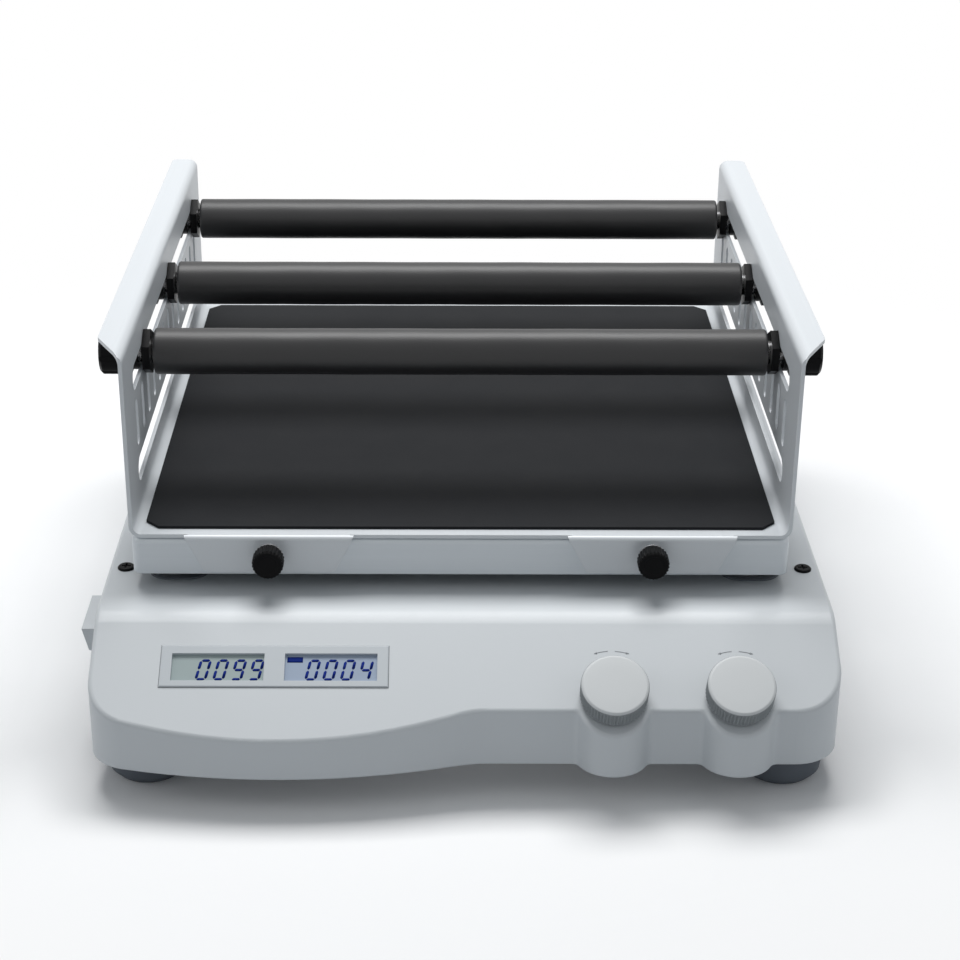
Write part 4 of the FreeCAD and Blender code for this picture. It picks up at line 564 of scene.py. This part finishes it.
@dataclass(frozen=True)
class FinishBook:
    """Every finish of the machine."""

    housing: Finish = Finish(
        "housing_enamel", (0.63, 0.66, 0.68), 0.45, scale=900.0, relief=0.000012, variation=0.015,
        edge_radius=0.0008, edge_wear_and_highlight_colour=(0.66, 0.69, 0.71), edge_amount=0.35, dust=0.02, coat=0.12)
    platform: Finish = Finish(
        "platform_silver", (0.63, 0.67, 0.70), 0.36, metallic=0.2, texture=Texture.BRUSHED_X,
        scale=1800.0, relief=0.000004, variation=0.03, edge_radius=0.0005,
        edge_wear_and_highlight_colour=(0.82, 0.84, 0.85))
    # The tray's pale edge colour at a high amount paints a highlight along its rims, with some wear.
    tray: Finish = Finish(
        "tray_silver", (0.63, 0.66, 0.685), 0.42, metallic=0.15, texture=Texture.BRUSHED_Y,
        scale=1700.0, relief=0.000004, variation=0.03, edge_radius=0.0005,
        edge_wear_and_highlight_colour=(0.85, 0.87, 0.88), edge_amount=0.8)
    mat: Finish = Finish(
        "mat_rubber", (0.010, 0.011, 0.013), 0.7, texture=Texture.CELLS, scale=1600.0, relief=0.00003,
        variation=0.1, edge_radius=0.0004, edge_wear_and_highlight_colour=(0.05, 0.05, 0.052), dust=0.01, specular=0.12)
    foam: Finish = Finish(
        "sleeve_foam", (0.014, 0.014, 0.015), 0.42, texture=Texture.CELLS, scale=1900.0, relief=0.00004,
        variation=0.12, edge_radius=0.0006, edge_wear_and_highlight_colour=(0.04, 0.04, 0.042), specular=0.45)
    black: Finish = Finish(
        "black_moulding", (0.004, 0.004, 0.0045), 0.3, scale=2200.0, relief=0.000006, variation=0.1,
        edge_radius=0.0004, edge_wear_and_highlight_colour=(0.02, 0.02, 0.021), specular=0.06)
    rubber: Finish = Finish(
        "foot_rubber", (0.13, 0.145, 0.165), 0.7, scale=1300.0, relief=0.00003, variation=0.1,
        edge_radius=0.001, edge_wear_and_highlight_colour=(0.08, 0.08, 0.085), specular=0.2)
    steel: Finish = Finish(
        "turned_steel", (0.56, 0.56, 0.57), 0.26, metallic=1.0, texture=Texture.BRUSHED_Y, scale=2600.0,
        relief=0.000004, variation=0.05, edge_wear_and_highlight_colour=(0.8, 0.8, 0.8))
    zinc: Finish = Finish(
        "zinc_plate", (0.62, 0.63, 0.65), 0.3, metallic=0.9, scale=2200.0, relief=0.000006,
        variation=0.06, edge_wear_and_highlight_colour=(0.85, 0.85, 0.86))
    casting: Finish = Finish(
        "cast_alloy", (0.42, 0.43, 0.44), 0.5, metallic=0.8, scale=700.0, relief=0.00006,
        variation=0.08, edge_radius=0.0008, edge_wear_and_highlight_colour=(0.7, 0.7, 0.71), dust=0.05)
    brass: Finish = Finish(
        "turned_brass", (0.62, 0.44, 0.19), 0.28, metallic=1.0, scale=2400.0, relief=0.000004,
        variation=0.06, edge_wear_and_highlight_colour=(0.85, 0.7, 0.4))
    board: Finish = Finish(
        "circuit_board", (0.02, 0.13, 0.06), 0.35, scale=500.0, relief=0.00002, variation=0.3,
        edge_wear_and_highlight_colour=(0.35, 0.33, 0.2), coat=0.3)
    bezel: Finish = Finish(
        "bezel_moulding", (0.54, 0.575, 0.60), 0.35, scale=1500.0, relief=0.000008, variation=0.02,
        edge_wear_and_highlight_colour=(0.8, 0.83, 0.85))
    screen: Finish = Finish(
        "screen_glass", (0.37, 0.44, 0.44), 0.3, scale=5200.0, relief=0.000001, variation=0.06,
        edge_radius=0.0002, specular=0.3)
    screen_blue: Finish = Finish(
        "screen_glass_blue", (0.35, 0.42, 0.53), 0.3, scale=5200.0, relief=0.000001, variation=0.08,
        edge_radius=0.0002, specular=0.3)
    knob_face: Finish = Finish(
        "knob_face", (0.63, 0.65, 0.655), 0.4, scale=1700.0, relief=0.000006, variation=0.015)
    knob_grip: Finish = Finish(
        "knob_grip", (0.27, 0.29, 0.30), 0.5, scale=1700.0, relief=0.000008, variation=0.05,
        edge_radius=0.00008, edge_wear_and_highlight_colour=(0.45, 0.46, 0.46))
    ink: Finish = Finish(
        "segment_ink", (0.005, 0.022, 0.20), 0.6, scale=4000.0, relief=0.0000005, variation=0.1,
        edge_radius=0.0001, specular=0.08)
    print: Finish = Finish(
        "panel_print", (0.36, 0.38, 0.40), 0.5, scale=3000.0, relief=0.000001, variation=0.1,
        edge_radius=0.0001)
    # Painted shade: the dark colour of the strip that stands for the shadow in the gap round the
    # display's frame.
    seam: Finish = Finish(
        "seam_shadow", (0.10, 0.11, 0.12), 0.6, scale=2000.0, relief=0.000002, variation=0.15,
        edge_radius=0.0001)
    white_mark: Finish = Finish(
        "rocker_mark", (0.75, 0.75, 0.73), 0.5, scale=2400.0, relief=0.000002, variation=0.05,
        edge_radius=0.0001)

    def build(self, groups: GroupBook) -> dict[str, bpy.types.Material]:
        """Make every material.

        Args:
            groups: The shared node groups.

        Returns:
            The materials by the finish's field name.
        """
        return {name: getattr(self, name).build(groups) for name in self.__dataclass_fields__}


@dataclass
class Part:
    """What every sub-assembly shares: its materials, its CAD nodes by finish and ways to use them."""

    materials: dict[str, bpy.types.Material]
    nodes: dict[str, str] = field(default_factory=dict)

    def dress(self) -> None:
        """Give each of the part's CAD nodes its finish."""
        for finish, names in self.nodes.items():
            for node in names.split():
                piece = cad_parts[node]
                if not piece.material_slots:
                    piece.data.materials.append(self.materials[finish])
                for slot in piece.material_slots:
                    slot.material = self.materials[finish]
                LOG.info("dressed %s in %s", node, finish)

    def seat(self, piece: bpy.types.Object, body: str, slot: str, *finishes: str,
             replaces: str = "") -> None:
        """Finish a new piece, and let it ride on its body.

        Args:
            piece: The new piece.
            body: The CAD body that carries it.
            slot: The record's material slot; not used.
            finishes: The finishes of its material slots.
            replaces: The CAD node it stands for, if any.
        """
        for finish in finishes:
            piece.data.materials.append(self.materials[finish])
        if replaces:
            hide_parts(replaces)
        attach(piece, body)
        LOG.info("made %s on %s", piece.name, body)


def thicken(piece: bpy.types.Object, depth: float) -> bpy.types.Object:
    """Give a flat piece a thickness, inwards from its faces.

    Args:
        piece: The flat piece.
        depth: Its thickness.

    Returns:
        The same piece.
    """
    shell = piece.modifiers.new("thickness", "SOLIDIFY")
    shell.thickness = depth
    shell.offset = -1.0
    return piece


@dataclass
class Housing(Part):
    """The painted housing, its plate, feet, screws, caps and seals."""

    nodes: dict[str, str] = field(default_factory=lambda: {
        "housing": "base_housing", "casting": "base_plate", "rubber": "feet post_seals",
        "zinc": "foot_screws housing_screws", "board": "power_supply",
        "black": "deck_caps power_inlet power_switch power_rocker"})
    wall_x: float = -0.1807
    switch_y: float = -0.1274
    switch_z: float = 0.036
    pivot: float = 0.001
    tilt: float = math.radians(10.0)
    face_middle: float = -0.0020
    face_end: tuple[float, float] = (-0.0039, 0.0047)
    ring_radii: tuple[float, float] = (0.0009, 0.0013)
    bar_half: tuple[float, float] = (0.0002, 0.0012)

    def build(self) -> None:
        """Dress the housing and mark its rocker."""
        self.dress()
        self.rocker_marks()

    def rocker_marks(self) -> None:
        """A bar and a ring on the rocker's two faces: rectangles and rings laid a hair above the faces.

        Each face runs from the rocker's middle to its edge, and a mark's point is the face's middle
        plus its across amount along Y and its up amount along the face.
        """
        turn = np.array([[math.cos(self.tilt), 0.0, math.sin(self.tilt)], [0.0, 1.0, 0.0],
                         [-math.sin(self.tilt), 0.0, math.cos(self.tilt)]])
        centre = np.array([self.wall_x + self.pivot, self.switch_y, self.switch_z])
        for name, sign in (("rocker_mark_bar", -1.0), ("rocker_mark_ring", 1.0)):
            start = np.array([self.face_middle, 0.0, 0.0])
            finish = np.array([self.face_end[0], 0.0, self.face_end[1] * sign])
            along = (finish - start) / np.linalg.norm(finish - start)
            outward = np.array([along[2], 0.0, -along[0]]) * -sign
            middle = (start + finish) / 2.0 + outward * 0.00004
            across = np.array([0.0, 1.0, 0.0])
            angle = np.linspace(0.0, 2.0 * np.pi, 33)
            if sign > 0:
                rings = np.array(self.ring_radii)[:, None]
                flat = np.stack([rings * np.cos(angle), rings * np.sin(angle)], axis=-1)
            else:
                width, height = self.bar_half
                wide, tall = np.array([-width, width]), np.linspace(-height, height, 5)
                flat = np.stack(np.meshgrid(wide, tall, indexing="ij"), axis=-1)
            local = middle + flat[..., :1] * across + flat[..., 1:] * along
            piece = grid_piece(name, local @ turn.T + centre)
            self.seat(thicken(piece, 0.00008), "rocker", "black_plastic", "white_mark")


@dataclass
class Display(Part):
    """The two screens with their figures, and a painted shade along the seam of their frame."""

    nodes: dict[str, str] = field(default_factory=lambda: {
        "bezel": "display_bezel", "screen": "speed_screen", "screen_blue": "time_screen",
        "board": "control_board"})
    centre: tuple[float, float] = (-0.0906, 0.0162)
    spacing: float = 0.055
    window: tuple[float, float] = (0.045, 0.015)
    frame_size: tuple[float, float] = (0.111, 0.023)
    surface: float = -0.0008
    drop: float = 0.0006
    figure_width: float = 0.0045
    figure_height: float = 0.0103
    figure_pitch: float = 0.0086
    stroke: float = 0.0014
    gap: float = 0.00024
    lean: float = 0.2
    figure_foot: float = 0.0015
    speed_indent: float = 0.0122
    time_indent: float = 0.0104
    flag_size: tuple[float, float] = (0.0076, 0.0030)
    flag_inset: tuple[float, float] = (0.0011, 0.0012)
    ink_lift: float = 0.00008
    ink_depth: float = 0.00006

    LIT = {"0": "abcdef", "4": "bcfg", "9": "abcdfg"}

    def build(self) -> None:
        """Dress the screens and make their figures, flag and the painted shade at their frame's seam.
        """
        self.dress()
        left = -self.window[0] / 2.0
        low = -self.window[1] / 2.0 - self.drop + self.figure_foot
        self.figures("speed_figures", "0099", -self.spacing / 2.0, left + self.speed_indent, low)
        self.figures("time_figures", "0004", self.spacing / 2.0, left + self.time_indent, low)
        self.flag()
        self.frame_seam_shade()

    def place(self, flat: Array, height: float) -> Array:
        """Carry across and upslope amounts about the display's centre to the part's frame.

        Args:
            flat: Array whose last axis holds across and upslope.
            height: Distance out of the panel.

        Returns:
            The points in the part's frame.
        """
        outward = np.full(flat.shape[:-1] + (1,), height)
        return panel_to_world(np.concatenate([flat + np.array(self.centre), outward], axis=-1))

    def segment_shapes(self) -> dict[str, Array]:
        """The seven bars of a figure: long hexagons that taper at both ends.

        A bar lies between two corners of the figure's box, shortened by the gap at each end. Its points
        are the two ends and four shoulders half a stroke to each side.

        Returns:
            Six points of each bar, by letter.
        """
        w, h = self.figure_width, self.figure_height
        corners = {"a": ((0, h), (w, h)), "b": ((w, h), (w, h / 2)), "c": ((w, h / 2), (w, 0)),
                   "d": ((0, 0), (w, 0)), "e": ((0, 0), (0, h / 2)), "f": ((0, h / 2), (0, h)),
                   "g": ((0, h / 2), (w, h / 2))}
        shapes = {}
        for letter, (first, last) in corners.items():
            start, finish = np.array(first, float), np.array(last, float)
            along = (finish - start) / np.linalg.norm(finish - start)
            side = np.array([-along[1], along[0]]) * self.stroke / 2.0
            start, finish = start + along * self.gap, finish - along * self.gap
            inner, outer = start + along * self.stroke / 2.0, finish - along * self.stroke / 2.0
            shapes[letter] = np.array([start, inner - side, outer - side, finish, outer + side,
                                       inner + side])
        return shapes

    def figures(self, name: str, text: str, middle: float, left: float, low: float) -> None:
        """A row of leaning figures, a hair above the screen.

        Each figure's bars are moved right by its number times the pitch, then sheared by the lean.

        Args:
            name: Name of the piece.
            text: The figures shown.
            middle: The screen's centre, across, from the display's.
            left: Left end of the first figure from the screen's centre.
            low: Bottom of the figures from the screen's centre.
        """
        shapes = self.segment_shapes()
        bars = [shapes[letter] + np.array([index * self.figure_pitch, 0.0])
                for index, figure in enumerate(text) for letter in self.LIT[figure]]
        points = np.concatenate(bars)
        points[:, 0] += points[:, 1] * self.lean + middle + left
        points[:, 1] += low
        faces = np.arange(len(points)).reshape(-1, 6).tolist()
        piece = flat_piece(name, self.place(points, self.surface + self.ink_lift), faces)
        self.seat(thicken(piece, self.ink_depth), "base", "screen_glass", "ink")

    def flag(self) -> None:
        """A plain dark flag at the second screen's upper left: one rectangle."""
        width, height = self.flag_size
        left = self.spacing / 2.0 - self.window[0] / 2.0 + self.flag_inset[0]
        high = self.window[1] / 2.0 - self.drop - self.flag_inset[1]
        wide, tall = np.linspace(left, left + width, 7), np.linspace(high - height, high, 4)
        flat = np.stack(np.meshgrid(wide, tall, indexing="ij"), axis=-1)
        piece = grid_piece("time_flag", self.place(flat, self.surface + self.ink_lift))
        self.seat(thicken(piece, self.ink_depth), "base", "screen_glass", "ink")

    def frame_seam_shade(self) -> None:
        """A painted shadow where the frame drops into the panel: a thin dark strip round a rectangle,
        standing in for the shade in that gap.

        The strip's inner line is the frame's outline, and its outer line the same grown by its width.
        """
        half = np.array(self.frame_size) / 2.0
        corner = np.array([[-1.0, -1.0], [1.0, -1.0], [1.0, 1.0], [-1.0, 1.0]])
        inner, outer = corner * (half - 0.0001), corner * (half + 0.00022)
        flat = np.stack([outer, inner])
        piece = grid_piece("bezel_seam_shade", self.place(flat, 0.00006)[:, ::-1], wrap_columns=True)
        self.seat(thicken(piece, 0.00005), "base", "bezel_grey", "seam")


@dataclass
class Controls(Part):
    """The two knurled knobs, their encoders and the arrows printed above them."""

    nodes: dict[str, str] = field(default_factory=lambda: {
        "zinc": "speed_encoder time_encoder", "brass": "speed_rotor time_rotor"})
    places: dict[str, float] = field(default_factory=lambda: {"speed": 0.0735, "time": 0.134})
    radius: float = 0.0165
    lift: float = 0.0016
    height: float = 0.0110
    grip: float = 0.0098
    wall: float = 0.0024
    shaft_hole: float = 0.002
    hub_radius: float = 0.005
    softness: float = 0.00035
    ribs: int = 60
    rib_depth: float = 0.0009
    steps_per_rib: int = 6
    arrow_radius: float = 0.0252
    arrow_width: float = 0.0004
    arrow_head: float = 0.0014
    arrow_start: float = 4.0
    arrow_finish: float = 16.5
    arrow_tip: float = 20.0

    def build(self) -> None:
        """Dress the encoders, and make the knobs and arrows."""
        self.dress()
        for name, across in self.places.items():
            self.knob(name, across)
            self.arrows(name, across)

    def knob(self, name: str, across: float) -> None:
        """A ribbed knob turned from a profile.

        Its ribs have their full depth from just above its foot to the ledge under its face.

        Args:
            name: Which knob.
            across: Its place along the panel.
        """
        low, high, ledge = self.lift, self.lift + self.height, self.lift + self.grip
        r, inner, hole, hub = self.radius, self.radius - self.wall, self.shaft_hole, self.hub_radius
        foot, roof, middle = -0.007, high - 0.003, 0.0005
        outline = [(middle, foot), (hole, foot), (hole, low), (hub, low), (hub, roof), (inner, roof),
                   (inner, low), (r - 0.0003, low), (r, low + 0.0006), (r, ledge),
                   (r - 0.0004, ledge + 0.0004), (r - 0.0006, high - 0.0005), (r - 0.0013, high),
                   (middle, high + 0.0001)]
        rows = finer(rounded_profile(outline, self.softness), 2)
        rise = np.clip((rows[:, 1] - low) / 0.0006, 0.0, 1.0)
        fall = np.clip((ledge - rows[:, 1]) / 0.0004, 0.0, 1.0)
        depth = self.rib_depth * (rise * fall) * (rows[:, 0] > r - self.wall / 2.0)
        grid = ribbed(rows, self.ribs, self.steps_per_rib, depth)
        points = panel_to_world(grid + np.array([across, 0.0, 0.0]))
        piece = grid_piece(f"{name}_knob_skin", points, wrap_columns=True, caps=True, sharp=50.0)
        self.seat(piece, f"{name}_control", "knob_grey", "knob_face", "knob_grip",
                  replaces=f"{name}_knob")
        band = ((rows[:-1, 1] + rows[1:, 1]) / 2.0 < ledge + 0.0003).astype(np.int32)
        index = np.concatenate([np.repeat(band[::-1], grid.shape[1]), np.zeros(2, np.int32)])
        piece.data.polygons.foreach_set("material_index", index)

    def arrows(self, name: str, across: float) -> None:
        """Two thin arced arrows above a knob, printed on the panel.

        A stroke's points lie on two circles a line's width apart, and its head is a triangle at its
        outer end, each at its radius times the cosine and sine of its angle.

        Args:
            name: Which knob.
            across: Its place along the panel.
        """
        radius, half_line, half_head = self.arrow_radius, self.arrow_width / 2.0, self.arrow_head / 2.0
        points, faces = [], []
        for side in (-1.0, 1.0):
            turn = np.radians(np.linspace(self.arrow_start, self.arrow_finish, 13))
            angle = np.pi / 2.0 - side * turn
            tip = np.pi / 2.0 - side * math.radians(self.arrow_tip)
            count, first = len(angle), sum(len(part) for part in points)
            line = np.repeat([-half_line, half_line], count)
            reach = radius + np.concatenate([line, [-half_head, 0.0, half_head]])
            turned = np.concatenate([angle, angle, [angle[-1], tip, angle[-1]]])
            points.append(reach[:, None] * np.stack([np.cos(turned), np.sin(turned)], axis=1))
            near = np.arange(count - 1)
            strip = first + np.stack([near, near + 1, near + 1 + count, near + count], axis=1)
            triangle = first + 2 * count + np.arange(3)
            order = slice(None, None, 1 if side < 0 else -1)
            faces += [face[order] for face in strip.tolist() + [triangle.tolist()]]
        flat = np.concatenate(points) + np.array([across, 0.0])
        outward = np.full((len(flat), 1), 0.00005)
        world = panel_to_world(np.concatenate([flat, outward], axis=1))
        piece = flat_piece(f"{name}_arrows", world, faces)
        self.seat(thicken(piece, 0.00004), "base", "housing_paint", "print")


@dataclass
class Drive(Part):
    """Everything between the plate and the platform: motor, crank, rod, rails and carriage."""

    nodes: dict[str, str] = field(default_factory=lambda: {
        "casting": "drive_bracket driven_pulley connecting_rod carriage_frame",
        "steel": "crank_bearings motor_pulley crank_shaft rod_bearings guide_rails drive_pin",
        "zinc": "motor rail_blocks support_posts", "rubber": "drive_belt", "brass": "counterweight"})

    def build(self) -> None:
        """Dress the drive."""
        self.dress()


@dataclass
class Table(Part):
    """The platform, its tray and mat, and the thumb screws that hold them together."""

    nodes: dict[str, str] = field(default_factory=lambda: {
        "platform": "platform", "tray": "clamping_tray", "mat": "anti_slip_mat",
        "zinc": "platform_screws left_thumb_washer right_thumb_washer"})
    tab_front: float = -0.1268
    thumb_height: float = 0.0955
    thumb_spread: float = 0.0958
    thumb_radius: float = 0.0079
    ribs: int = 26
    rib_depth: float = 0.0006

    def build(self) -> None:
        """Dress the table and make its thumb screws."""
        self.dress()
        self.thumb_screw("left", -self.thumb_spread)
        self.thumb_screw("right", self.thumb_spread)

    def thumb_screw(self, side: str, across: float) -> None:
        """A thumb screw turned from a profile, its axis pointing out of the front, with a dished face.

        Height becomes minus Y, the first axis stays X and the second becomes Z.

        Args:
            side: Which screw.
            across: Its place along X.
        """
        r, seat, neck, crown = self.thumb_radius, 0.0014, 0.0026, 0.0111
        outline = [(0.0004, -0.015), (0.0025, -0.015), (0.0025, seat), (0.0055, seat), (0.0055, neck),
                   (r - 0.0006, neck), (r, neck + 0.0006), (r, crown - 0.0009), (r - 0.0009, crown),
                   (0.0053, crown), (0.0048, crown - 0.0004), (0.0004, crown - 0.0004)]
        rows = finer(rounded_profile(outline, 0.0003), 3)
        grid = ribbed(rows, self.ribs, 8, self.rib_depth * (rows[:, 0] > r - 0.0007))
        points = grid[..., [0, 2, 1]] * np.array([1.0, -1.0, 1.0])
        place = np.array([across, self.tab_front, self.thumb_height])
        piece = grid_piece(f"{side}_thumb_grip", points + place, wrap_columns=True, caps=True,
                           sharp=50.0)
        self.seat(piece, f"{side}_screw", "black_plastic", "black", replaces=f"{side}_thumb_screw")


@dataclass
class HoldingRod(Part):
    """One padded rod across the tray: threaded stud, foam sleeve, nuts and clamp knobs."""

    name: str = "front"
    y: float = -0.053
    stud_radius: float = 0.006
    stud_half: float = 0.178
    thread_start: float = 0.1596
    pitch: float = 0.00175
    thread_depth: float = 0.0008
    tip_radius: float = 0.0045
    sleeve_radius: float = 0.012
    sleeve_half: float = 0.1575
    sleeve_rounding: float = 0.0014
    ripple: float = 0.00003
    seed: float = 1.7

    def build(self) -> None:
        """Dress the nuts and clamp knobs, and make the stud and sleeve."""
        self.nodes = {"black": " ".join(f"{self.name}_rod_{end}" for end in (
            "nuts", "left_clamp", "right_clamp"))}
        self.dress()
        self.stud()
        self.sleeve()

    def stud(self) -> None:
        """A round rod whose two ends carry a thread.

        The radius at height h and angle a is the rod's, less the thread's depth times a triangle wave
        of h over the pitch plus a over a full turn, which fades in where the thread starts.
        """
        ends = np.linspace(self.thread_start, self.stud_half - 0.001, 112)
        height = np.concatenate([-ends[::-1], [-0.1, 0.0, 0.1], ends])
        grid = revolve(np.stack([np.full_like(height, self.stud_radius), height], axis=1), 48)
        angle = np.linspace(0.0, 2.0 * np.pi, 48, endpoint=False)
        wave = np.abs(((height[:, None] / self.pitch + angle / (2.0 * np.pi)) % 1.0) * 2.0 - 1.0)
        fade = np.clip((np.abs(height) - self.thread_start) / 0.001, 0.0, 1.0)[:, None]
        radius = self.stud_radius - self.thread_depth * wave * fade
        grid[..., 0], grid[..., 1] = radius * np.cos(angle), radius * np.sin(angle)
        tips = []
        for sign in (-1.0, 1.0):
            end = np.array([[self.tip_radius, sign * self.stud_half]])
            tips.append(revolve(end, 48))
        grid = np.concatenate([tips[0], grid, tips[1]])
        points = along_x(grid, (0.0, self.y, ROD_HEIGHT))
        piece = grid_piece(f"{self.name}_stud_thread", points[::-1], wrap_columns=True, caps=True,
                           sharp=60.0)
        self.seat(piece, f"{self.name}_rod", "steel", "steel", replaces=f"{self.name}_rod_stud")

    def sleeve(self) -> None:
        """A foam sleeve with soft ends and a faintly uneven skin.

        The radius is the sleeve's plus a few hundredths of a millimetre of slow waves in height and
        angle.
        """
        half, r = self.sleeve_half, self.sleeve_radius - 2.0 * self.ripple
        corners = [(self.stud_radius, -half), (r, -half), (r, 0.0)]
        ends = rounded_profile(corners, self.sleeve_rounding, 7)[:-1]
        middle = np.stack([np.full(160, r), np.linspace(-half + 0.002, half - 0.002, 160)], axis=1)
        profile = np.concatenate([ends, middle, ends[::-1] * np.array([1.0, -1.0])])
        grid = revolve(profile, 96)
        angle = np.linspace(0.0, 2.0 * np.pi, 96, endpoint=False)
        height = profile[:, 1:]
        waves = np.sin(height * 61.0 + 2.0 * angle + self.seed)
        waves += np.sin(height * 143.0 - 3.0 * angle + 2.0 * self.seed)
        skin = np.where(profile[:, :1] > 0.011, self.ripple * waves, 0.0)
        grid[..., 0] += skin * np.cos(angle)
        grid[..., 1] += skin * np.sin(angle)
        points = along_x(grid, (0.0, self.y, ROD_HEIGHT))
        piece = grid_piece(f"{self.name}_sleeve_foam", points[::-1], wrap_rows=True,
                           wrap_columns=True, sharp=50.0)
        self.seat(piece, f"{self.name}_rod", "black_rubber", "foam", replaces=f"{self.name}_rod_sleeve")


@dataclass(frozen=True)
class Lamp:
    """A soft rectangular lamp: its place, what it looks at, its two sides and its power in watts."""

    name: str
    place: tuple[float, float, float]
    aim: tuple[float, float, float]
    size: tuple[float, float]
    power: float

    def hang(self) -> None:
        """Add the lamp to the scene, turned to its aim."""
        light = bpy.data.lights.new(self.name, "AREA")
        light.shape = "RECTANGLE"
        light.size, light.size_y = self.size
        light.energy = self.power
        lamp = bpy.data.objects.new(self.name, light)
        lamp.location = self.place
        lamp.rotation_mode = "QUATERNION"
        lamp.rotation_quaternion = (Vector(self.aim) - Vector(self.place)).to_track_quat("-Z", "Y")
        bpy.context.scene.collection.objects.link(lamp)


@dataclass
class Studio:
    """The pale floor, the soft lights and the camera."""

    lamps: tuple[Lamp, ...] = (
        Lamp("key_panel", (-0.05, 0.42, 1.42), (0.0, 0.02, 0.0), (1.1, 0.6), 19.0),
        Lamp("left_panel", (-1.5, -0.5, 0.9), (0.0, 0.0, 0.08), (0.7, 1.0), 2.2),
        Lamp("right_panel", (1.5, -0.5, 0.9), (0.0, 0.0, 0.08), (0.7, 1.0), 1.3))
    floor_radius: float = 1.6
    floor_gone: float = 0.62
    floor_fade: float = 0.32
    floor_bounce: Colour = (0.62, 0.64, 0.66)
    sky_light: Colour = (0.265, 0.28, 0.295)
    camera_place: tuple[float, float, float] = (-0.00813, -1.0422, 0.5700)
    yaw: float = 0.0023
    pitch: float = 0.4289
    roll: float = -0.0034
    focal: float = 2058.75
    centre: tuple[float, float] = (448.95, 454.38)
    frame_width: float = 960.0

    def build(self) -> None:
        """Make the stage, the lights and the camera."""
        self.floor()
        self.world()
        for lamp in self.lamps:
            lamp.hang()
            LOG.info("hung %s", lamp.name)
        self.camera()
        bpy.context.scene.view_settings.view_transform = "Standard"

    def floor(self) -> None:
        """A round floor that shows the shadow near the machine and fades out further away."""
        rings = np.linspace(0.0, self.floor_radius, 12)[1:]
        grid = revolve(np.stack([rings, np.full(11, -0.0001)], axis=1), 72)
        floor = grid_piece("studio_floor", grid, wrap_columns=True)
        floor.data.materials.append(self.floor_material())

    def floor_material(self) -> bpy.types.Material:
        """White to the eye, darker to the light it bounces back, and clear towards its rim.

        Returns:
            The floor's material.
        """
        material = bpy.data.materials.new("studio_floor")
        material.use_nodes = True
        tree = material.node_tree
        tree.nodes.clear()
        sheet = NodeSheet(tree)
        diffuse = sheet.add("ShaderNodeBsdfDiffuse")
        colour = sheet.blend(sheet.seen(), self.floor_bounce + (1.0,), (1.0, 1.0, 1.0, 1.0))
        sheet.feed(diffuse.inputs["Color"], colour)
        clear = sheet.add("ShaderNodeBsdfTransparent")
        reach = sheet.add("ShaderNodeVectorMath", operation="LENGTH")
        sheet.feed(reach.inputs[0], sheet.place())
        inside = sheet.maths("SUBTRACT", self.floor_gone, reach.outputs["Value"])
        fade = sheet.maths("DIVIDE", inside, self.floor_fade, clamp=True)
        mix = sheet.add("ShaderNodeMixShader")
        sheet.feed(mix.inputs[0], fade)
        sheet.feed(mix.inputs[1], clear.outputs[0])
        sheet.feed(mix.inputs[2], diffuse.outputs[0])
        sheet.feed(sheet.add("ShaderNodeOutputMaterial").inputs["Surface"], mix.outputs[0])
        return material

    def world(self) -> None:
        """A dim soft sky for light, and a white one for the eye and for reflections."""
        world = bpy.data.worlds.new("studio_sky")
        bpy.context.scene.world = world
        world.use_nodes = True
        sheet = NodeSheet(world.node_tree)
        sky = world.node_tree.nodes["Background"]
        colour = sheet.blend(sheet.seen(), self.sky_light + (1.0,), (1.0, 1.0, 1.0, 1.0))
        sheet.feed(sky.inputs["Color"], colour)
        sky.inputs["Strength"].default_value = 1.0

    def camera(self) -> None:
        """Set the camera where the photograph's stood, with its small shift off centre."""
        lens = bpy.data.cameras.new("photo_camera")
        lens.sensor_width = 36.0
        lens.lens = 36.0 * self.focal / self.frame_width
        lens.shift_x = 0.5 - self.centre[0] / self.frame_width
        lens.shift_y = self.centre[1] / self.frame_width - 0.5
        lens.clip_start, lens.clip_end = 0.05, 20.0
        ahead = math.cos(self.pitch)
        forward = np.array([math.sin(self.yaw) * ahead, math.cos(self.yaw) * ahead,
                            -math.sin(self.pitch)])
        level = np.array([math.cos(self.yaw), -math.sin(self.yaw), 0.0])
        down = np.cross(forward, level)
        right = math.cos(self.roll) * level + math.sin(self.roll) * down
        low = -math.sin(self.roll) * level + math.cos(self.roll) * down
        turn = Matrix(np.stack([right, -low, -forward], axis=1).tolist()).to_4x4()
        camera = bpy.data.objects.new("photo_camera", lens)
        camera.matrix_world = Matrix.Translation(self.camera_place) @ turn
        bpy.context.scene.collection.objects.link(camera)
        bpy.context.scene.camera = camera


def main() -> None:
    """Build every sub-assembly in order, then the studio round them."""
    logging.basicConfig(level=logging.INFO, format="%(message)s")
    materials = FinishBook().build(GroupBook())
    Housing(materials).build()
    Display(materials).build()
    Controls(materials).build()
    Drive(materials).build()
    Table(materials).build()
    for name, y, seed in (("front", -0.053, 1.7), ("middle", 0.0505, 3.4), ("rear", 0.1665, 5.1)):
        HoldingRod(materials, name=name, y=y, seed=seed).build()
    Studio().build()


if __name__ == "__main__":
    main()
